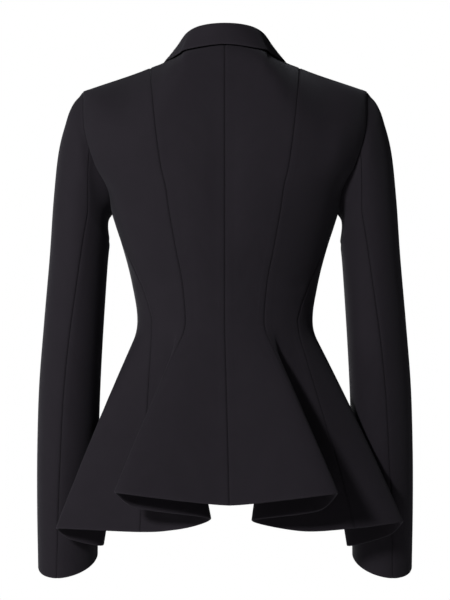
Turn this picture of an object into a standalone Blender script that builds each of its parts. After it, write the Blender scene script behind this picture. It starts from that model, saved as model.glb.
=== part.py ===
"""Fitted tailored jacket with a fluted peplum, in its worn form: hollow, open at neck, hem and cuffs.

Metres, +Z up, +Y to the wearer's front, +X to the wearer's right. The origin is the middle of the neck
base, level with the shoulder seams' neck ends, where the wearer holds the jacket up.
Each cloth piece is one thin wall, worked out from sections of the garment and cut along its seams.
"""

import math

import bmesh
import bpy
from mathutils import Vector

# Cloth
CLOTH = 0.0018  # wall of every cloth piece
SEAM_GAP = 0.0003  # clear gap between two pieces at a seam
SLEEVE_SEAM_GAP = 0.0006  # the same along a sleeve, whose walls turn more sharply there
STEP = 0.004  # share of a section or turn used to find a surface's direction

# Shoulders and neck
SHOULDER_HALF = 0.196  # centre to shoulder tip
SHOULDER_TIP_Y = 0.004
SHOULDER_TIP_Z = -0.0445
NECK_HALF = 0.057  # centre to the shoulder seam's neck end
NECK_Y = -0.003
NECK_Z = 0.010
NECK_CURVE = 0.11  # how far the shoulder seam curves up beside the neck
NAPE_Y = -0.072  # neck seam at centre back
NAPE_Z = 0.014
NECK_PART = 2 / 3  # share of the back panel's columns that meet the neck edge
TIP_TURN = 6.0  # degrees round the body, beside the shoulder tip, over which the cloth keeps one slope
SHOULDER_END = 0.02  # share of the upper body that this holds for
FRONT_ROUNDING = 5.0  # how quickly the front falls away from the shoulder seam
BACK_ROUNDING = (
    # outward x, how quickly the back falls away there
    (0.0, 28.0),
    (0.050, 28.0),
    (0.065, 20.0),
    (0.085, 10.5),
    (0.105, 7.0),
    (0.135, 5.0),
    (0.196, 5.0),
)
TIP_ROUND_FROM = 0.125  # outward x where the shoulder starts to round over, towards its tip
TIP_ROUNDING = 3.0  # how quickly front and back fall away at the tip
TIP_POWER = 0.5  # how round the shoulder is there: 1 is a ridge, 0.5 a round top

# Levels
UNDERARM_Z = -0.211
WAIST_Z = -0.359
WAIST_EASE = 0.10  # share of the peplum's drop over which it bends out of the waist
BELL = 0.02  # how far the peplum rounds out between waist and hem, as a share of its flare

# Armhole: how far it cuts into the back and the front, in degrees round the body
ARMHOLE_INTO_BACK = 27.0
ARMHOLE_INTO_FRONT = 32.0
ARMHOLE_CROWN = 0.5  # how round the armhole is at the shoulder tip
ARMHOLE_STEPS = 10  # wall divisions from shoulder tip to underarm

# Front edge
EDGE_LAP = 0.018  # each front passes the centre by this much
BREAK_Z = -0.235  # lower end of the lapel's roll line
BREAK_HALF = 0.006
TOP_BUTTON_Z = -0.272
LAP_SHIFT = 0.0016  # right front moves out and left front in by this much
LAP_FULL = 0.010  # distance from the centre where that shift is whole
LAP_START = 0.062  # distance from the centre where that shift begins

# Horizontal sections of the body: level, half width, depth to back, depth to front, squareness
SECTIONS = (
    (0.030, 0.196, 0.074, 0.040, 3.0),
    (-0.050, 0.196, 0.101, 0.078, 3.0),
    (-0.100, 0.198, 0.115, 0.103, 2.9),
    (-0.145, 0.1865, 0.119, 0.118, 2.7),
    (-0.180, 0.164, 0.118, 0.124, 2.6),
    (-0.211, 0.155, 0.114, 0.125, 2.4),
    (-0.269, 0.137, 0.101, 0.117, 2.3),
    (-0.310, 0.1270, 0.091, 0.106, 2.2),
    (-0.359, 0.120, 0.086, 0.098, 2.2),
    (-0.408, 0.1275, 0.091, 0.106, 2.2),
)

# Seams of the body above the waist: level, then degrees round the body from centre back
BACK_SEAM = (
    (0.020, 29.2),
    (-0.025, 27.8),
    (-0.057, 26.8),
    (-0.088, 25.9),
    (-0.133, 25.8),
    (-0.176, 27.0),
    (-0.211, 27.4),
    (-0.265, 27.0),
    (-0.304, 25.9),
    (-0.359, 25.5),
)
SIDE_SEAM = ((-0.211, 90.0), (-0.245, 78.0), (-0.280, 67.5), (-0.319, 59.0), (-0.359, 52.5))
FRONT_SEAM = ((0.02, 151.0), (-0.1, 150.0), (-0.211, 148.0), (-0.359, 146.0))

# Folds of the peplum, from centre back to the front edge. Hem points are metres from the centre: outward
# and up on the right side, outward and up on the left side, and forward. Heading is the cloth's way in
# plan, 0 outward and 90 forward. Pull is how far it holds that way. Columns are wall divisions to the
# next row.
FOLDS = (
    # name, waist degrees, right x, right z, left x, left z, y, heading, pull, columns
    ("centre_back", 0.0, 0.006, -0.5990, -0.006, -0.5990, -0.160, 0, 0.080, 9),
    ("back_seam", 25.5, 0.148, -0.5845, 0.145, -0.5830, -0.148, 90, 0.050, 3),
    ("back_turn", 30.0, 0.127, -0.6090, 0.1235, -0.6045, -0.121, 168, 0.042, 3),
    ("back_valley", 35.5, 0.037, -0.6250, 0.02, -0.6225, -0.104, 90, 0.060, 4),
    ("side_back_middle", 44.0, 0.104, -0.6410, 0.066, -0.6390, -0.083, 14, 0.070, 3),
    ("side_seam", 53.0, 0.175, -0.6380, 0.114, -0.6430, -0.074, 12, 0.075, 6),
    ("side_crest", 80.0, 0.2425, -0.6330, 0.23, -0.6420, -0.040, 90, 0.045, 3),
    ("side_turn", 87.0, 0.226, -0.6530, 0.212, -0.6590, -0.018, 165, 0.035, 3),
    ("side_valley", 97.0, 0.17, -0.6700, 0.169, -0.6690, 0.000, 90, 0.045, 4),
    ("side_front_middle", 121.0, 0.171, -0.6500, 0.17, -0.6500, 0.062, 95, 0.055, 4),
    ("front_seam", 146.0, 0.118, -0.6400, 0.118, -0.6400, 0.122, 140, 0.070, 7),
    ("front_edge", None, 0.062, -0.6060, 0.062, -0.6060, 0.152, 165, 0.050, 0),
)

# Rows of wall below the underarm and down the peplum, as shares of each drop
LOWER_ROWS = (0.2, 0.42, 0.62, 0.82, 1.0)
PEPLUM_ROWS = (0.05, 0.11, 0.2, 0.35, 0.55, 0.78, 1.0)

# Body panels: name, first fold row, last fold row
PANELS = (
    ("back", "centre_back", "back_seam"),
    ("side_back", "back_seam", "side_seam"),
    ("side_front", "side_seam", "front_seam"),
    ("front", "front_seam", "front_edge"),
)

# Sleeve stations from armhole to cuff: outer x and z, inner x and z, half depth, middle y,
# drop of the back against the front, turn of the seams round the arm in degrees
STATIONS = (
    (0.1960, -0.0445, 0.1550, -0.211, 0.0600, 0.004, 0.000, 0.0),
    (0.2130, -0.073, 0.1580, -0.224, 0.0625, 0.002, 0.000, 12.0),
    (0.2275, -0.122, 0.1590, -0.247, 0.0610, 0.000, 0.002, 16.0),
    (0.2350, -0.190, 0.1620, -0.275, 0.0590, -0.002, 0.003, 12.0),
    (0.2405, -0.270, 0.1655, -0.325, 0.0560, -0.003, 0.004, 5.0),
    (0.2485, -0.360, 0.1700, -0.395, 0.0540, 0.000, 0.004, -2.0),
    (0.2565, -0.450, 0.1740, -0.465, 0.0520, 0.012, 0.006, -6.0),
    (0.2605, -0.540, 0.1770, -0.545, 0.0500, 0.028, 0.009, -9.0),
    (0.2620, -0.620, 0.1785, -0.615, 0.0480, 0.044, 0.012, -13.0),
    (0.2620, -0.705, 0.1800, -0.690, 0.0460, 0.060, 0.018, -17.0),
)
SLEEVE_ROWS = (0.0, 0.3, 0.75, 1.3, 2.0, 2.8, 3.6, 4.4, 5.2, 6.0, 7.0, 8.0, 9.0)
ARMHOLE_FADE = 3.0  # stations over which the armhole's own outline gives way to the sleeve's
SLEEVE_SWELL = 0.004  # fullness of the sleeve just past the armhole, under the arm
SWELL_STATIONS = 2.2  # stations over which that fullness lasts
HIND_SEAM = 5  # armhole division where the sleeve's back seam starts
FORE_SEAM = 15  # and its front seam, counted on round the armhole

# Collar stations from centre back to the gorge: place along the neck edge, stand, fold width at the top,
# outer edge x, level of that edge below the top edge as a share of the drop to the underarm, minus on the
# back, and lift of that edge off the panel below
COLLAR = (
    # share of the neck edge, stand, fold, edge x, edge level, lift
    (0.00, 0.0270, 0.0085, 0.0000, -0.016, 0.0048),
    (0.30, 0.0260, 0.0085, 0.0455, -0.036, 0.0048),
    (0.50, 0.0230, 0.0078, 0.0630, -0.027, 0.0042),
    (0.70, 0.0190, 0.0062, 0.0785, 0.000, 0.0034),
    (0.85, 0.0130, 0.0060, 0.0910, 0.063, 0.0040),
    (1.00, 0.0060, 0.0060, 0.0990, 0.215, 0.0045),
)
NECK_SHARE = 0.70  # share of the neck edge at the shoulder seam
STAND_LEAN = 0.20  # how far the stand leans in over the shoulder
COLLAR_TURN = 0.16  # share of the neck edge over which the edge turns across the shoulder seam
FALL_ROUND = 1.8  # roundness of the fall below the fold
GORGE_Z = -0.030  # where collar and lapel meet on the front edge
COLLAR_HALF_COLUMNS = 14
NOTCH_FROM = 0.72  # share of the collar's width where the notch opens
COLLAR_NOTCH = 0.075  # how far the collar's end is cut back there, as a share of the neck edge

# Lapel: widest point below the gorge and its belly
LAPEL_TIP_X = 0.124
LAPEL_TIP_Z = -0.067
LAPEL_DROP = 0.0040  # below the gorge, clear of the collar's end
LAPEL_STAND = 0.0030
LAPEL_FOLD = 0.0060
LAPEL_LIFT = 0.0042
LAPEL_BELLY = 0.006
LAPEL_END = 0.95  # share of the roll line that the lapel covers
LAPEL_ROWS = 11
STRIP_COLUMNS = (0.0, 0.16, 0.3, 0.4, 0.45, 0.5, 0.55, 0.62, 0.72, 0.86, 1.0)

# Buttons
BUTTON_RADIUS = 0.0100
BUTTON_THICK = 0.0036
BUTTON_DISH = 0.0008  # depth of the face inside the rim
BUTTON_RIM = 0.0022
BUTTON_BOSS = 0.0010  # the back stands on a boss of this height
BUTTON_SPACING = 0.0435
BUTTON_COUNT = 3
BUTTON_SIDES = 20

CLOTH_COLOUR = (0.012, 0.011, 0.013, 1.0)
BUTTON_COLOUR = (0.010, 0.010, 0.011, 1.0)


def clear_scene():
    for item in list(bpy.data.objects):
        bpy.data.objects.remove(item)


def finish_material(name, colour, roughness):
    material = bpy.data.materials.new(name)
    material.use_nodes = True
    shader = material.node_tree.nodes["Principled BSDF"]
    shader.inputs["Base Color"].default_value = colour
    shader.inputs["Roughness"].default_value = roughness
    shader.inputs["Metallic"].default_value = 0.0
    return material


def mix(a, b, share):
    return a + (b - a) * share


def eased(share):
    share = min(max(share, 0.0), 1.0)
    return share * share * (3 - 2 * share)


def hermite(start, leave, end, arrive, share):
    """Cubic from start to end with the given tangents."""
    square, cube = share * share, share**3
    return (
        start * (2 * cube - 3 * square + 1)
        + leave * (cube - 2 * square + share)
        + end * (3 * square - 2 * cube)
        + arrive * (cube - square)
    )


def through(rows, at):
    """Smooth values at a key, from rows of (key, value, value...), held at the end rows."""
    rows = sorted(rows)
    keys = [row[0] for row in rows]
    at = min(max(at, keys[0]), keys[-1])
    i = max(k for k in range(len(rows) - 1) if keys[k] <= at)
    span = keys[i + 1] - keys[i]
    share = (at - keys[i]) / span
    found = []
    for column in range(1, len(rows[0])):
        def slope(k):
            low, high = max(k - 1, 0), min(k + 1, len(rows) - 1)
            return (rows[high][column] - rows[low][column]) / (keys[high] - keys[low])
        start, end = rows[i][column], rows[i + 1][column]
        found.append(hermite(start, slope(i) * span, end, slope(i + 1) * span, share))
    return found


def section_point(angle, z):
    """Point of the body's horizontal section: outward x and forward y at degrees from centre back."""
    half, back, front, square = through(SECTIONS, z)
    s, c = math.sin(math.radians(angle)), math.cos(math.radians(angle))
    reach = (abs(c) ** square + abs(s) ** square) ** (-1 / square)
    return half * s * reach, -(back if c > 0 else front) * c * reach


def section_angle(x, z, front):
    """Degrees from centre back at which the section reaches x."""
    half, _, _, square = through(SECTIONS, z)
    q = min(x / half, 0.99999)
    turn = math.degrees(math.atan(q / (1 - abs(q) ** square) ** (1 / square)))
    return 180 - turn if front else turn


def top_edge(angle):
    """Forward y and height of the neck edge or shoulder seam above a point of the section."""
    x = abs(section_point(angle, 0.0)[0])
    if x >= NECK_HALF:
        share = (x - NECK_HALF) / (SHOULDER_HALF - NECK_HALF)
        drop = share + NECK_CURVE * (1 - share - (1 - share) ** 8)
        return mix(NECK_Y, SHOULDER_TIP_Y, share), mix(NECK_Z, SHOULDER_TIP_Z, drop)
    if angle > 90:
        return NECK_Y, NECK_Z
    inset = math.sqrt(1 - (x / NECK_HALF) ** 2)
    return mix(NECK_Y, NAPE_Y, inset), mix(NECK_Z, NAPE_Z, inset)


def top_pull(angle, level):
    """Share of the top edge's pull on the body that is left at a level above the underarm."""
    x = abs(section_point(angle, 0.0)[0])
    rounding = FRONT_ROUNDING if angle > 90 else through(BACK_ROUNDING, x)[0]
    tip = eased((x - TIP_ROUND_FROM) / (SHOULDER_HALF - TIP_ROUND_FROM))
    return (1 - level ** mix(1.0, TIP_POWER, tip)) ** mix(rounding, TIP_ROUNDING, tip)


def lap(side, x):
    """How far the fronts move apart where they pass the centre."""
    return side * LAP_SHIFT * eased((LAP_START - x) / (LAP_START - LAP_FULL))


def torso_point(side, angle, level):
    """Body above the waist. Level 0 is the top edge, 1 the underarm, 2 the waist."""
    top_y, top_z = top_edge(angle)
    if level <= 1:
        z = mix(top_z, UNDERARM_Z, level)
        x, y = section_point(angle, z)
        y += (top_y - section_point(angle, top_z)[1]) * top_pull(angle, level)
    else:
        z = mix(UNDERARM_Z, WAIST_Z, level - 1)
        x, y = section_point(angle, z)
    if angle > 90:
        y += lap(side, x) * eased(level * 6)
    return Vector((side * x, y, z))


def outward(side, along, down):
    """Unit normal out of the garment from the ways round it and down it."""
    return (along.cross(down) * side).normalized() * -1


def surface_normal(side, angle, level):
    turn = STEP * 180
    high = level + STEP if level < 2 - STEP else level
    low = level - STEP if level > STEP else level
    along = torso_point(side, angle + turn, level) - torso_point(side, angle - turn, level)
    down = torso_point(side, angle, high) - torso_point(side, angle, low)
    return outward(side, along, down)


def torso_normal(side, angle, level):
    """Normal of the body above the waist, shared by back and front along the shoulder seam."""
    if level < SHOULDER_END:
        angle = min(angle, 90 - TIP_TURN) if angle <= 90 else max(angle, 90 + TIP_TURN)
    normal = surface_normal(side, angle, level)
    if level < STEP and abs(section_point(angle, 0.0)[0]) >= NECK_HALF - STEP:
        normal = (normal + surface_normal(side, 180 - angle, level)).normalized()
    return normal


def panel_place(side, x, z, front):
    """Point and normal of the body above the underarm at an outward x and a height."""
    angle = section_angle(x, z, front)
    top_z = top_edge(angle)[1]
    level = max((top_z - z) / (top_z - UNDERARM_Z), 0.0)
    return torso_point(side, angle, level), torso_normal(side, angle, level)


def front_edge_x(z):
    """Outward x of a front's own edge: the lapel's roll line, then the buttoned edge."""
    if z >= BREAK_Z:
        return mix(BREAK_HALF, NECK_HALF, (z - BREAK_Z) / (NECK_Z - BREAK_Z))
    share = (BREAK_Z - z) / (BREAK_Z - TOP_BUTTON_Z)
    return mix(BREAK_HALF, -EDGE_LAP, eased(share))


def armhole_angle(turn):
    """Degrees round the body of the armhole at a turn: 0 shoulder tip, 180 underarm, by the back."""
    s, c = math.sin(math.radians(turn)), math.cos(math.radians(turn))
    reach = abs(s) ** (1 - ARMHOLE_CROWN * max(0.0, c))
    return 90 - reach * ARMHOLE_INTO_BACK if s > 0 else 90 + reach * ARMHOLE_INTO_FRONT


def armhole_level(turn):
    return (1 - math.cos(math.radians(turn))) / 2


def level_z(level):
    """Height of a row on the front, whose top is level with the neck."""
    return mix(NECK_Z, UNDERARM_Z, level) if level <= 1 else mix(UNDERARM_Z, WAIST_Z, level - 1)


def seam_angle(name, level):
    """Degrees round the body of a panel's edge at a row above the waist."""
    z = level_z(level)
    if name == "centre_back":
        return 0.0
    if name == "back_seam":
        return through(BACK_SEAM, z)[0]
    if name == "front_seam":
        return through(FRONT_SEAM, z)[0]
    if name == "front_edge":
        return section_angle(front_edge_x(z), z, True)
    return through(SIDE_SEAM, z)[0]


def panel_edges(panel, level):
    """Degrees round the body of a panel's two edges at a row above the waist."""
    name, first, last = panel
    low, high = seam_angle(first, level), seam_angle(last, level)
    if level < 1:
        turn = math.degrees(math.acos(1 - 2 * level))
        if name == "side_back":
            high = armhole_angle(turn)
        if name == "side_front":
            low = armhole_angle(-turn)
    return low, high


def fold_names():
    return [fold[0] for fold in FOLDS]


def waist_angle(index):
    angle = FOLDS[index][1]
    return seam_angle("front_edge", 2.0) if angle is None else angle


def peplum_point(side, girth, drop):
    """Peplum at a place along the folds, counted in fold rows, and a share of the drop to the hem."""
    i = min(max(int(girth), 0), len(FOLDS) - 2)
    share = girth - i
    ends = []
    for fold in (FOLDS[i], FOLDS[i + 1]):
        _, _, right_x, _, left_x, _, y, heading, pull, _ = fold
        way = math.radians(heading)
        place = Vector((right_x if side > 0 else left_x, y))
        ends.append((place, Vector((math.cos(way), math.sin(way))) * pull))
    (start, leave), (end, arrive) = ends
    hem = hermite(start, leave, end, arrive, share)
    heights = [(k, fold[3 if side > 0 else 5]) for k, fold in enumerate(FOLDS)]
    hem_z = through([(-1, heights[1][1])] + heights, girth)[0]
    angle = mix(waist_angle(i), waist_angle(i + 1), share)
    x, y = section_point(angle, WAIST_Z)
    if drop < WAIST_EASE:
        flare = drop * drop / (2 * WAIST_EASE)
    else:
        flare = drop - WAIST_EASE / 2
    flare /= 1 - WAIST_EASE / 2
    flare += BELL * 4 * flare * (1 - flare)
    place = Vector((x, y)).lerp(hem, flare)
    if angle > 90:
        place.y += lap(side, place.x)
    return Vector((side * place.x, place.y, mix(WAIST_Z, hem_z, drop)))


def peplum_normal(side, girth, drop):
    high, low = min(drop + STEP, 1.0), max(drop - STEP, 0.0)
    along = peplum_point(side, girth + STEP, drop) - peplum_point(side, girth - STEP, drop)
    down = peplum_point(side, girth, high) - peplum_point(side, girth, low)
    return outward(side, along, down)


def upper_rows():
    return [armhole_level(180 * k / ARMHOLE_STEPS) for k in range(ARMHOLE_STEPS + 1)]


def panel_girths(panel):
    """Places of a panel's columns along the folds."""
    names = fold_names()
    first, last = names.index(panel[1]), names.index(panel[2])
    girths = []
    for i in range(first, last):
        columns = FOLDS[i][9]
        girths += [i + k / columns for k in range(columns)]
    return girths + [float(last)]


def waist_share(panel, girth):
    """Where a column stands between its panel's edges at the waist."""
    names = fold_names()
    i = min(int(girth), len(FOLDS) - 2)
    here = mix(waist_angle(i), waist_angle(i + 1), girth - i)
    low, high = waist_angle(names.index(panel[1])), waist_angle(names.index(panel[2]))
    return (here - low) / (high - low)


def neck_spread(last_x, share):
    """Outward x along the back's top edge: even turns round the neck, then even steps along the shoulder."""
    if share <= NECK_PART:
        return NECK_HALF * math.sin(math.radians(90 * share / NECK_PART))
    return mix(NECK_HALF, last_x, (share - NECK_PART) / (1 - NECK_PART))


def column_angles(panel, girths, level):
    """Degrees round the body of a panel's columns: even along the shoulder, as at the waist below."""
    low, high = panel_edges(panel, level)
    lower = [mix(low, high, waist_share(panel, girth)) for girth in girths]
    if level >= 1:
        return lower
    first_x, last_x = section_point(low, 0.0)[0], section_point(high, 0.0)[0]
    found = []
    for column, below in enumerate(lower):
        share = column / (len(lower) - 1)
        x = neck_spread(last_x, share) if panel[0] == "back" else mix(first_x, last_x, share)
        above = section_angle(x, 0.0, low >= 90)
        found.append(mix(above, below, eased(level * 1.3)))
    return found


def body_grid(side, panel):
    """Middle points and normals of a body panel, row by row from the top edge to the hem."""
    girths = panel_girths(panel)
    points, normals = [], []
    for level in upper_rows() + [1 + share for share in LOWER_ROWS]:
        angles = column_angles(panel, girths, level)
        points.append([torso_point(side, angle, level) for angle in angles])
        normals.append([torso_normal(side, angle, level) for angle in angles])
    for drop in PEPLUM_ROWS:
        points.append([peplum_point(side, girth, drop) for girth in girths])
        normals.append([peplum_normal(side, girth, drop) for girth in girths])
    return points, normals


def draw_in(points, row, column, row_to, column_to, distance):
    """Moves one point of a grid towards another by a distance."""
    here, there = points[row][column], points[row_to][column_to]
    points[row][column] = here + (there - here).normalized() * distance


def open_seams(points, gap, top=True):
    """Draws a panel's sewn edges in by half the gap, at its sides and, if asked, at its top."""
    for row in range(len(points)):
        draw_in(points, row, 0, row, 1, gap / 2)
        draw_in(points, row, -1, row, -2, gap / 2)
    for column in range(len(points[0]) if top else 0):
        draw_in(points, 0, column, 1, column, gap / 2)


def add_object(name, mesh, material):
    mesh.materials.append(material)
    mesh.shade_smooth()
    mesh.set_sharp_from_angle(angle=math.radians(50))
    item = bpy.data.objects.new(name, mesh)
    bpy.context.scene.collection.objects.link(item)
    return item


def wall(name, points, normals, material):
    """Closed cloth wall, half its thickness to each side of a grid of middle points."""
    rows, columns = len(points), len(points[0])
    work = bmesh.new()
    sheets = []
    for way in (0.5, -0.5):
        sheet = []
        for row, ways in zip(points, normals):
            sheet.append([work.verts.new(p + n * (way * CLOTH)) for p, n in zip(row, ways)])
        sheets.append(sheet)
    outer, inner = sheets
    for r in range(rows - 1):
        for c in range(columns - 1):
            quad = (outer[r][c], outer[r][c + 1], outer[r + 1][c + 1], outer[r + 1][c])
            work.faces.new(quad)
            quad = (inner[r + 1][c], inner[r + 1][c + 1], inner[r][c + 1], inner[r][c])
            work.faces.new(quad)
    rim = [(0, c) for c in range(columns)] + [(r, columns - 1) for r in range(1, rows)]
    rim += [(rows - 1, c) for c in range(columns - 2, -1, -1)] + [(r, 0) for r in range(rows - 2, 0, -1)]
    for (r, c), (r2, c2) in zip(rim, rim[1:] + rim[:1]):
        work.faces.new((outer[r2][c2], outer[r][c], inner[r][c], inner[r2][c2]))
    bmesh.ops.recalc_face_normals(work, faces=work.faces)
    mesh = bpy.data.meshes.new(name)
    work.to_mesh(mesh)
    work.free()
    return add_object(name, mesh, material)


def make_body(side, label, material):
    for panel in PANELS:
        points, normals = body_grid(side, panel)
        open_seams(points, SEAM_GAP)
        wall(f"{panel[0]}_{label}", points, normals, material)


def armhole_point(side, turn):
    return torso_point(side, armhole_angle(turn), armhole_level(turn))


def station_point(side, turn, station):
    """Point of the sleeve's own oval at a station."""
    rows = [(k, *row) for k, row in enumerate(STATIONS)]
    outer_x, outer_z, inner_x, inner_z, half_depth, middle_y, back_drop, twist = through(rows, station)
    c, s = math.cos(math.radians(turn + twist)), math.sin(math.radians(turn + twist))
    x = (outer_x + inner_x) / 2 + (outer_x - inner_x) / 2 * c
    z = (outer_z + inner_z) / 2 + (outer_z - inner_z) / 2 * c - back_drop * s
    return Vector((side * x, middle_y - half_depth * s, z))


def sleeve_point(side, turn, station):
    fade = max(0.0, 1 - station / ARMHOLE_FADE) ** 2
    bend = armhole_point(side, turn) - station_point(side, turn, 0)
    part = min(station / SWELL_STATIONS, 1.0)
    swell = Vector((side * SLEEVE_SWELL * 4 * part * (1 - part) * armhole_level(turn), 0, 0))
    return station_point(side, turn, station) + bend * fade + swell


def sleeve_normal(side, turn, station):
    last = len(STATIONS) - 1
    high, low = min(station + STEP, last), max(station - STEP, 0)
    step = STEP * 360
    along = sleeve_point(side, turn - step, station) - sleeve_point(side, turn + step, station)
    down = sleeve_point(side, turn, high) - sleeve_point(side, turn, low)
    return outward(side, along, down)


def sleeve_seam_point(side, turn, sleeve_normal_here):
    """Sleeve's first point, clear of the body's edge: beyond it, or on top where the sleeve turns back."""
    edge = armhole_point(side, turn)
    body_normal = torso_normal(side, armhole_angle(turn), armhole_level(turn))
    along = armhole_point(side, turn + 2) - armhole_point(side, turn - 2)
    past = body_normal.cross(along).normalized()
    middle = (armhole_point(side, 0) + armhole_point(side, 180)) / 2
    if past.dot(middle - edge) < 0:
        past = -past
    turned = body_normal.dot(sleeve_normal_here)
    beyond = SEAM_GAP + CLOTH / 2 * math.sqrt(max(0.0, 1 - turned * turned))
    above = (CLOTH + SEAM_GAP) * math.sqrt(max(0.0, -turned))
    return edge + past * beyond + body_normal * above


def sleeve_grid(side, first, last):
    """Middle points and normals of a sleeve piece between two armhole divisions."""
    turns = [180 * k / ARMHOLE_STEPS for k in range(first, last + 1)]
    points, normals = [], []
    for station in SLEEVE_ROWS:
        points.append([sleeve_point(side, turn, station) for turn in turns])
        normals.append([sleeve_normal(side, turn, station) for turn in turns])
    for column, turn in enumerate(turns):
        points[0][column] = sleeve_seam_point(side, turn, normals[0][column])
    return points, normals


def make_sleeves(side, label, material):
    around = 2 * ARMHOLE_STEPS
    for name, first, last in (
        ("top_sleeve", FORE_SEAM - around, HIND_SEAM),
        ("under_sleeve", HIND_SEAM, FORE_SEAM),
    ):
        points, normals = sleeve_grid(side, first, last)
        open_seams(points, SLEEVE_SEAM_GAP, top=False)
        wall(f"{name}_{label}", points, normals, material)


def front_edge_frame(side, z):
    """Point of a front's own edge, the way out past that edge, and the normal."""
    low, _ = panel_place(side, front_edge_x(z - STEP), z - STEP, True)
    high, _ = panel_place(side, front_edge_x(z + STEP), z + STEP, True)
    place, normal = panel_place(side, front_edge_x(z), z, True)
    across = normal.cross(high - low).normalized()
    return place, across if across.x * side < 0 else -across, normal


def neck_frame(side, share):
    """Foot of the collar's stand, the way it stands and the way it folds, along half the neck edge."""
    if share <= NECK_SHARE:
        turn = math.radians(90 * share / NECK_SHARE)
        angle = section_angle(NECK_HALF * math.sin(turn), 0.0, False)
        foot = torso_point(side, angle, 0.0)
        up = Vector((-side * STAND_LEAN * math.sin(turn), 0, 1)).normalized()
        out = Vector((side * math.sin(turn), -math.cos(turn), 0))
    else:
        share = (share - NECK_SHARE) / (1 - NECK_SHARE)
        foot, across, normal = front_edge_frame(side, mix(NECK_Z, GORGE_Z, share))
        up = Vector((-side * STAND_LEAN, 0, 1)).lerp(across, eased(share)).normalized()
        out = Vector((side, 0, 0)).lerp(normal, eased(share)).normalized()
    return foot - out * (CLOTH + SEAM_GAP) + up * SEAM_GAP, up, out


def collar_point(share, width):
    """Collar at a share of the neck edge, minus on the left, and of its width from neck seam to edge."""
    side = -1 if share < 0 else 1
    mirrored = [(-row[0], row[1], row[2], -row[3], row[4], row[5]) for row in COLLAR[1:]]
    stand, fold, edge_x, edge_level, lift = through(mirrored + list(COLLAR), abs(share))
    foot, up, out = neck_frame(side, abs(share))
    angle = section_angle(edge_x, 0.0, edge_level > 0)
    place = torso_point(side, angle, abs(edge_level))
    normal = torso_normal(side, angle, abs(edge_level))
    ridge = torso_normal(side, section_angle(edge_x, 0.0, False), 0.0)
    away = eased(abs(abs(share) - NECK_SHARE) / COLLAR_TURN)
    edge = place + ridge.lerp(normal, away).normalized() * lift
    top = foot + up * stand + out * (fold / 2)
    radius = fold / 2.2
    if width <= 0.5:
        arrive = out * math.sqrt(3.2 * stand * radius)
        return hermite(foot, up * (1.4 * stand), top, arrive, width * 2)
    fall = edge - top
    leave = out * math.sqrt(FALL_ROUND * fall.length * radius)
    return hermite(top, leave, edge, fall * 0.9, width * 2 - 1)


def collar_share(column, width):
    """Share of the neck edge of a collar column, with the end cut back past the notch."""
    past = max(0.0, (width - NOTCH_FROM) / (1 - NOTCH_FROM))
    return column / COLLAR_HALF_COLUMNS * (1 - COLLAR_NOTCH * past)


def make_collar(material):
    points, normals = [], []
    columns = range(-COLLAR_HALF_COLUMNS, COLLAR_HALF_COLUMNS + 1)
    for width in STRIP_COLUMNS:
        shares = [collar_share(column, width) for column in columns]
        points.append([collar_point(share, width) for share in shares])
        ways = []
        for share in shares:
            low, high = max(width - STEP, 0.0), min(width + STEP, 1.0)
            inner, outer = max(share - STEP, -1.0), min(share + STEP, 1.0)
            along = collar_point(outer, width) - collar_point(inner, width)
            down = collar_point(share, high) - collar_point(share, low)
            ways.append(outward(1, along, down))
        normals.append(ways)
    wall("collar", points, normals, material)


def lapel_point(side, share, width):
    """Lapel at a share of the roll line from the gorge and a share of its width from the fold."""
    z = mix(GORGE_Z - LAPEL_DROP, BREAK_Z, share)
    place, across, normal = front_edge_frame(side, z)
    if width <= 0.5:
        turn = math.tau * width
        rise = LAPEL_FOLD / 2 * (1 - math.cos(turn))
        return place + across * (SEAM_GAP + LAPEL_STAND * math.sin(turn)) + normal * rise
    across_share = width * 2 - 1
    belly = LAPEL_BELLY * math.sin(math.pi * share)
    edge_x = mix(LAPEL_TIP_X, BREAK_HALF, share) + belly
    edge_z = mix(LAPEL_TIP_Z, BREAK_Z, share)
    x = mix(front_edge_x(z) - SEAM_GAP, edge_x, across_share)
    place, normal = panel_place(side, x, mix(z, edge_z, across_share), True)
    return place + normal * mix(LAPEL_FOLD, LAPEL_LIFT, eased(across_share))


def make_lapel(side, label, material):
    points, normals = [], []
    for row in range(LAPEL_ROWS + 1):
        share = LAPEL_END * row / LAPEL_ROWS
        points.append([lapel_point(side, share, width) for width in STRIP_COLUMNS])
        ways = []
        for width in STRIP_COLUMNS:
            low, high = max(width - STEP, 0.0), min(width + STEP, 1.0)
            along = lapel_point(side, share, low) - lapel_point(side, share, high)
            above = lapel_point(side, max(share - STEP, 0), width)
            down = lapel_point(side, share + STEP, width) - above
            ways.append(outward(side, along, down))
        normals.append(ways)
    wall(f"lapel_{label}", points, normals, material)


def make_buttons(material):
    for k in range(BUTTON_COUNT):
        z = TOP_BUTTON_Z - k * BUTTON_SPACING
        level = 1 + (z - UNDERARM_Z) / (WAIST_Z - UNDERARM_Z)
        seat = torso_point(1, 180.0, level)
        way = torso_normal(1, 180.0, level)
        make_button(f"button_{k + 1}", seat + way * (CLOTH / 2 + 2 * SEAM_GAP), way, material)


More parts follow.
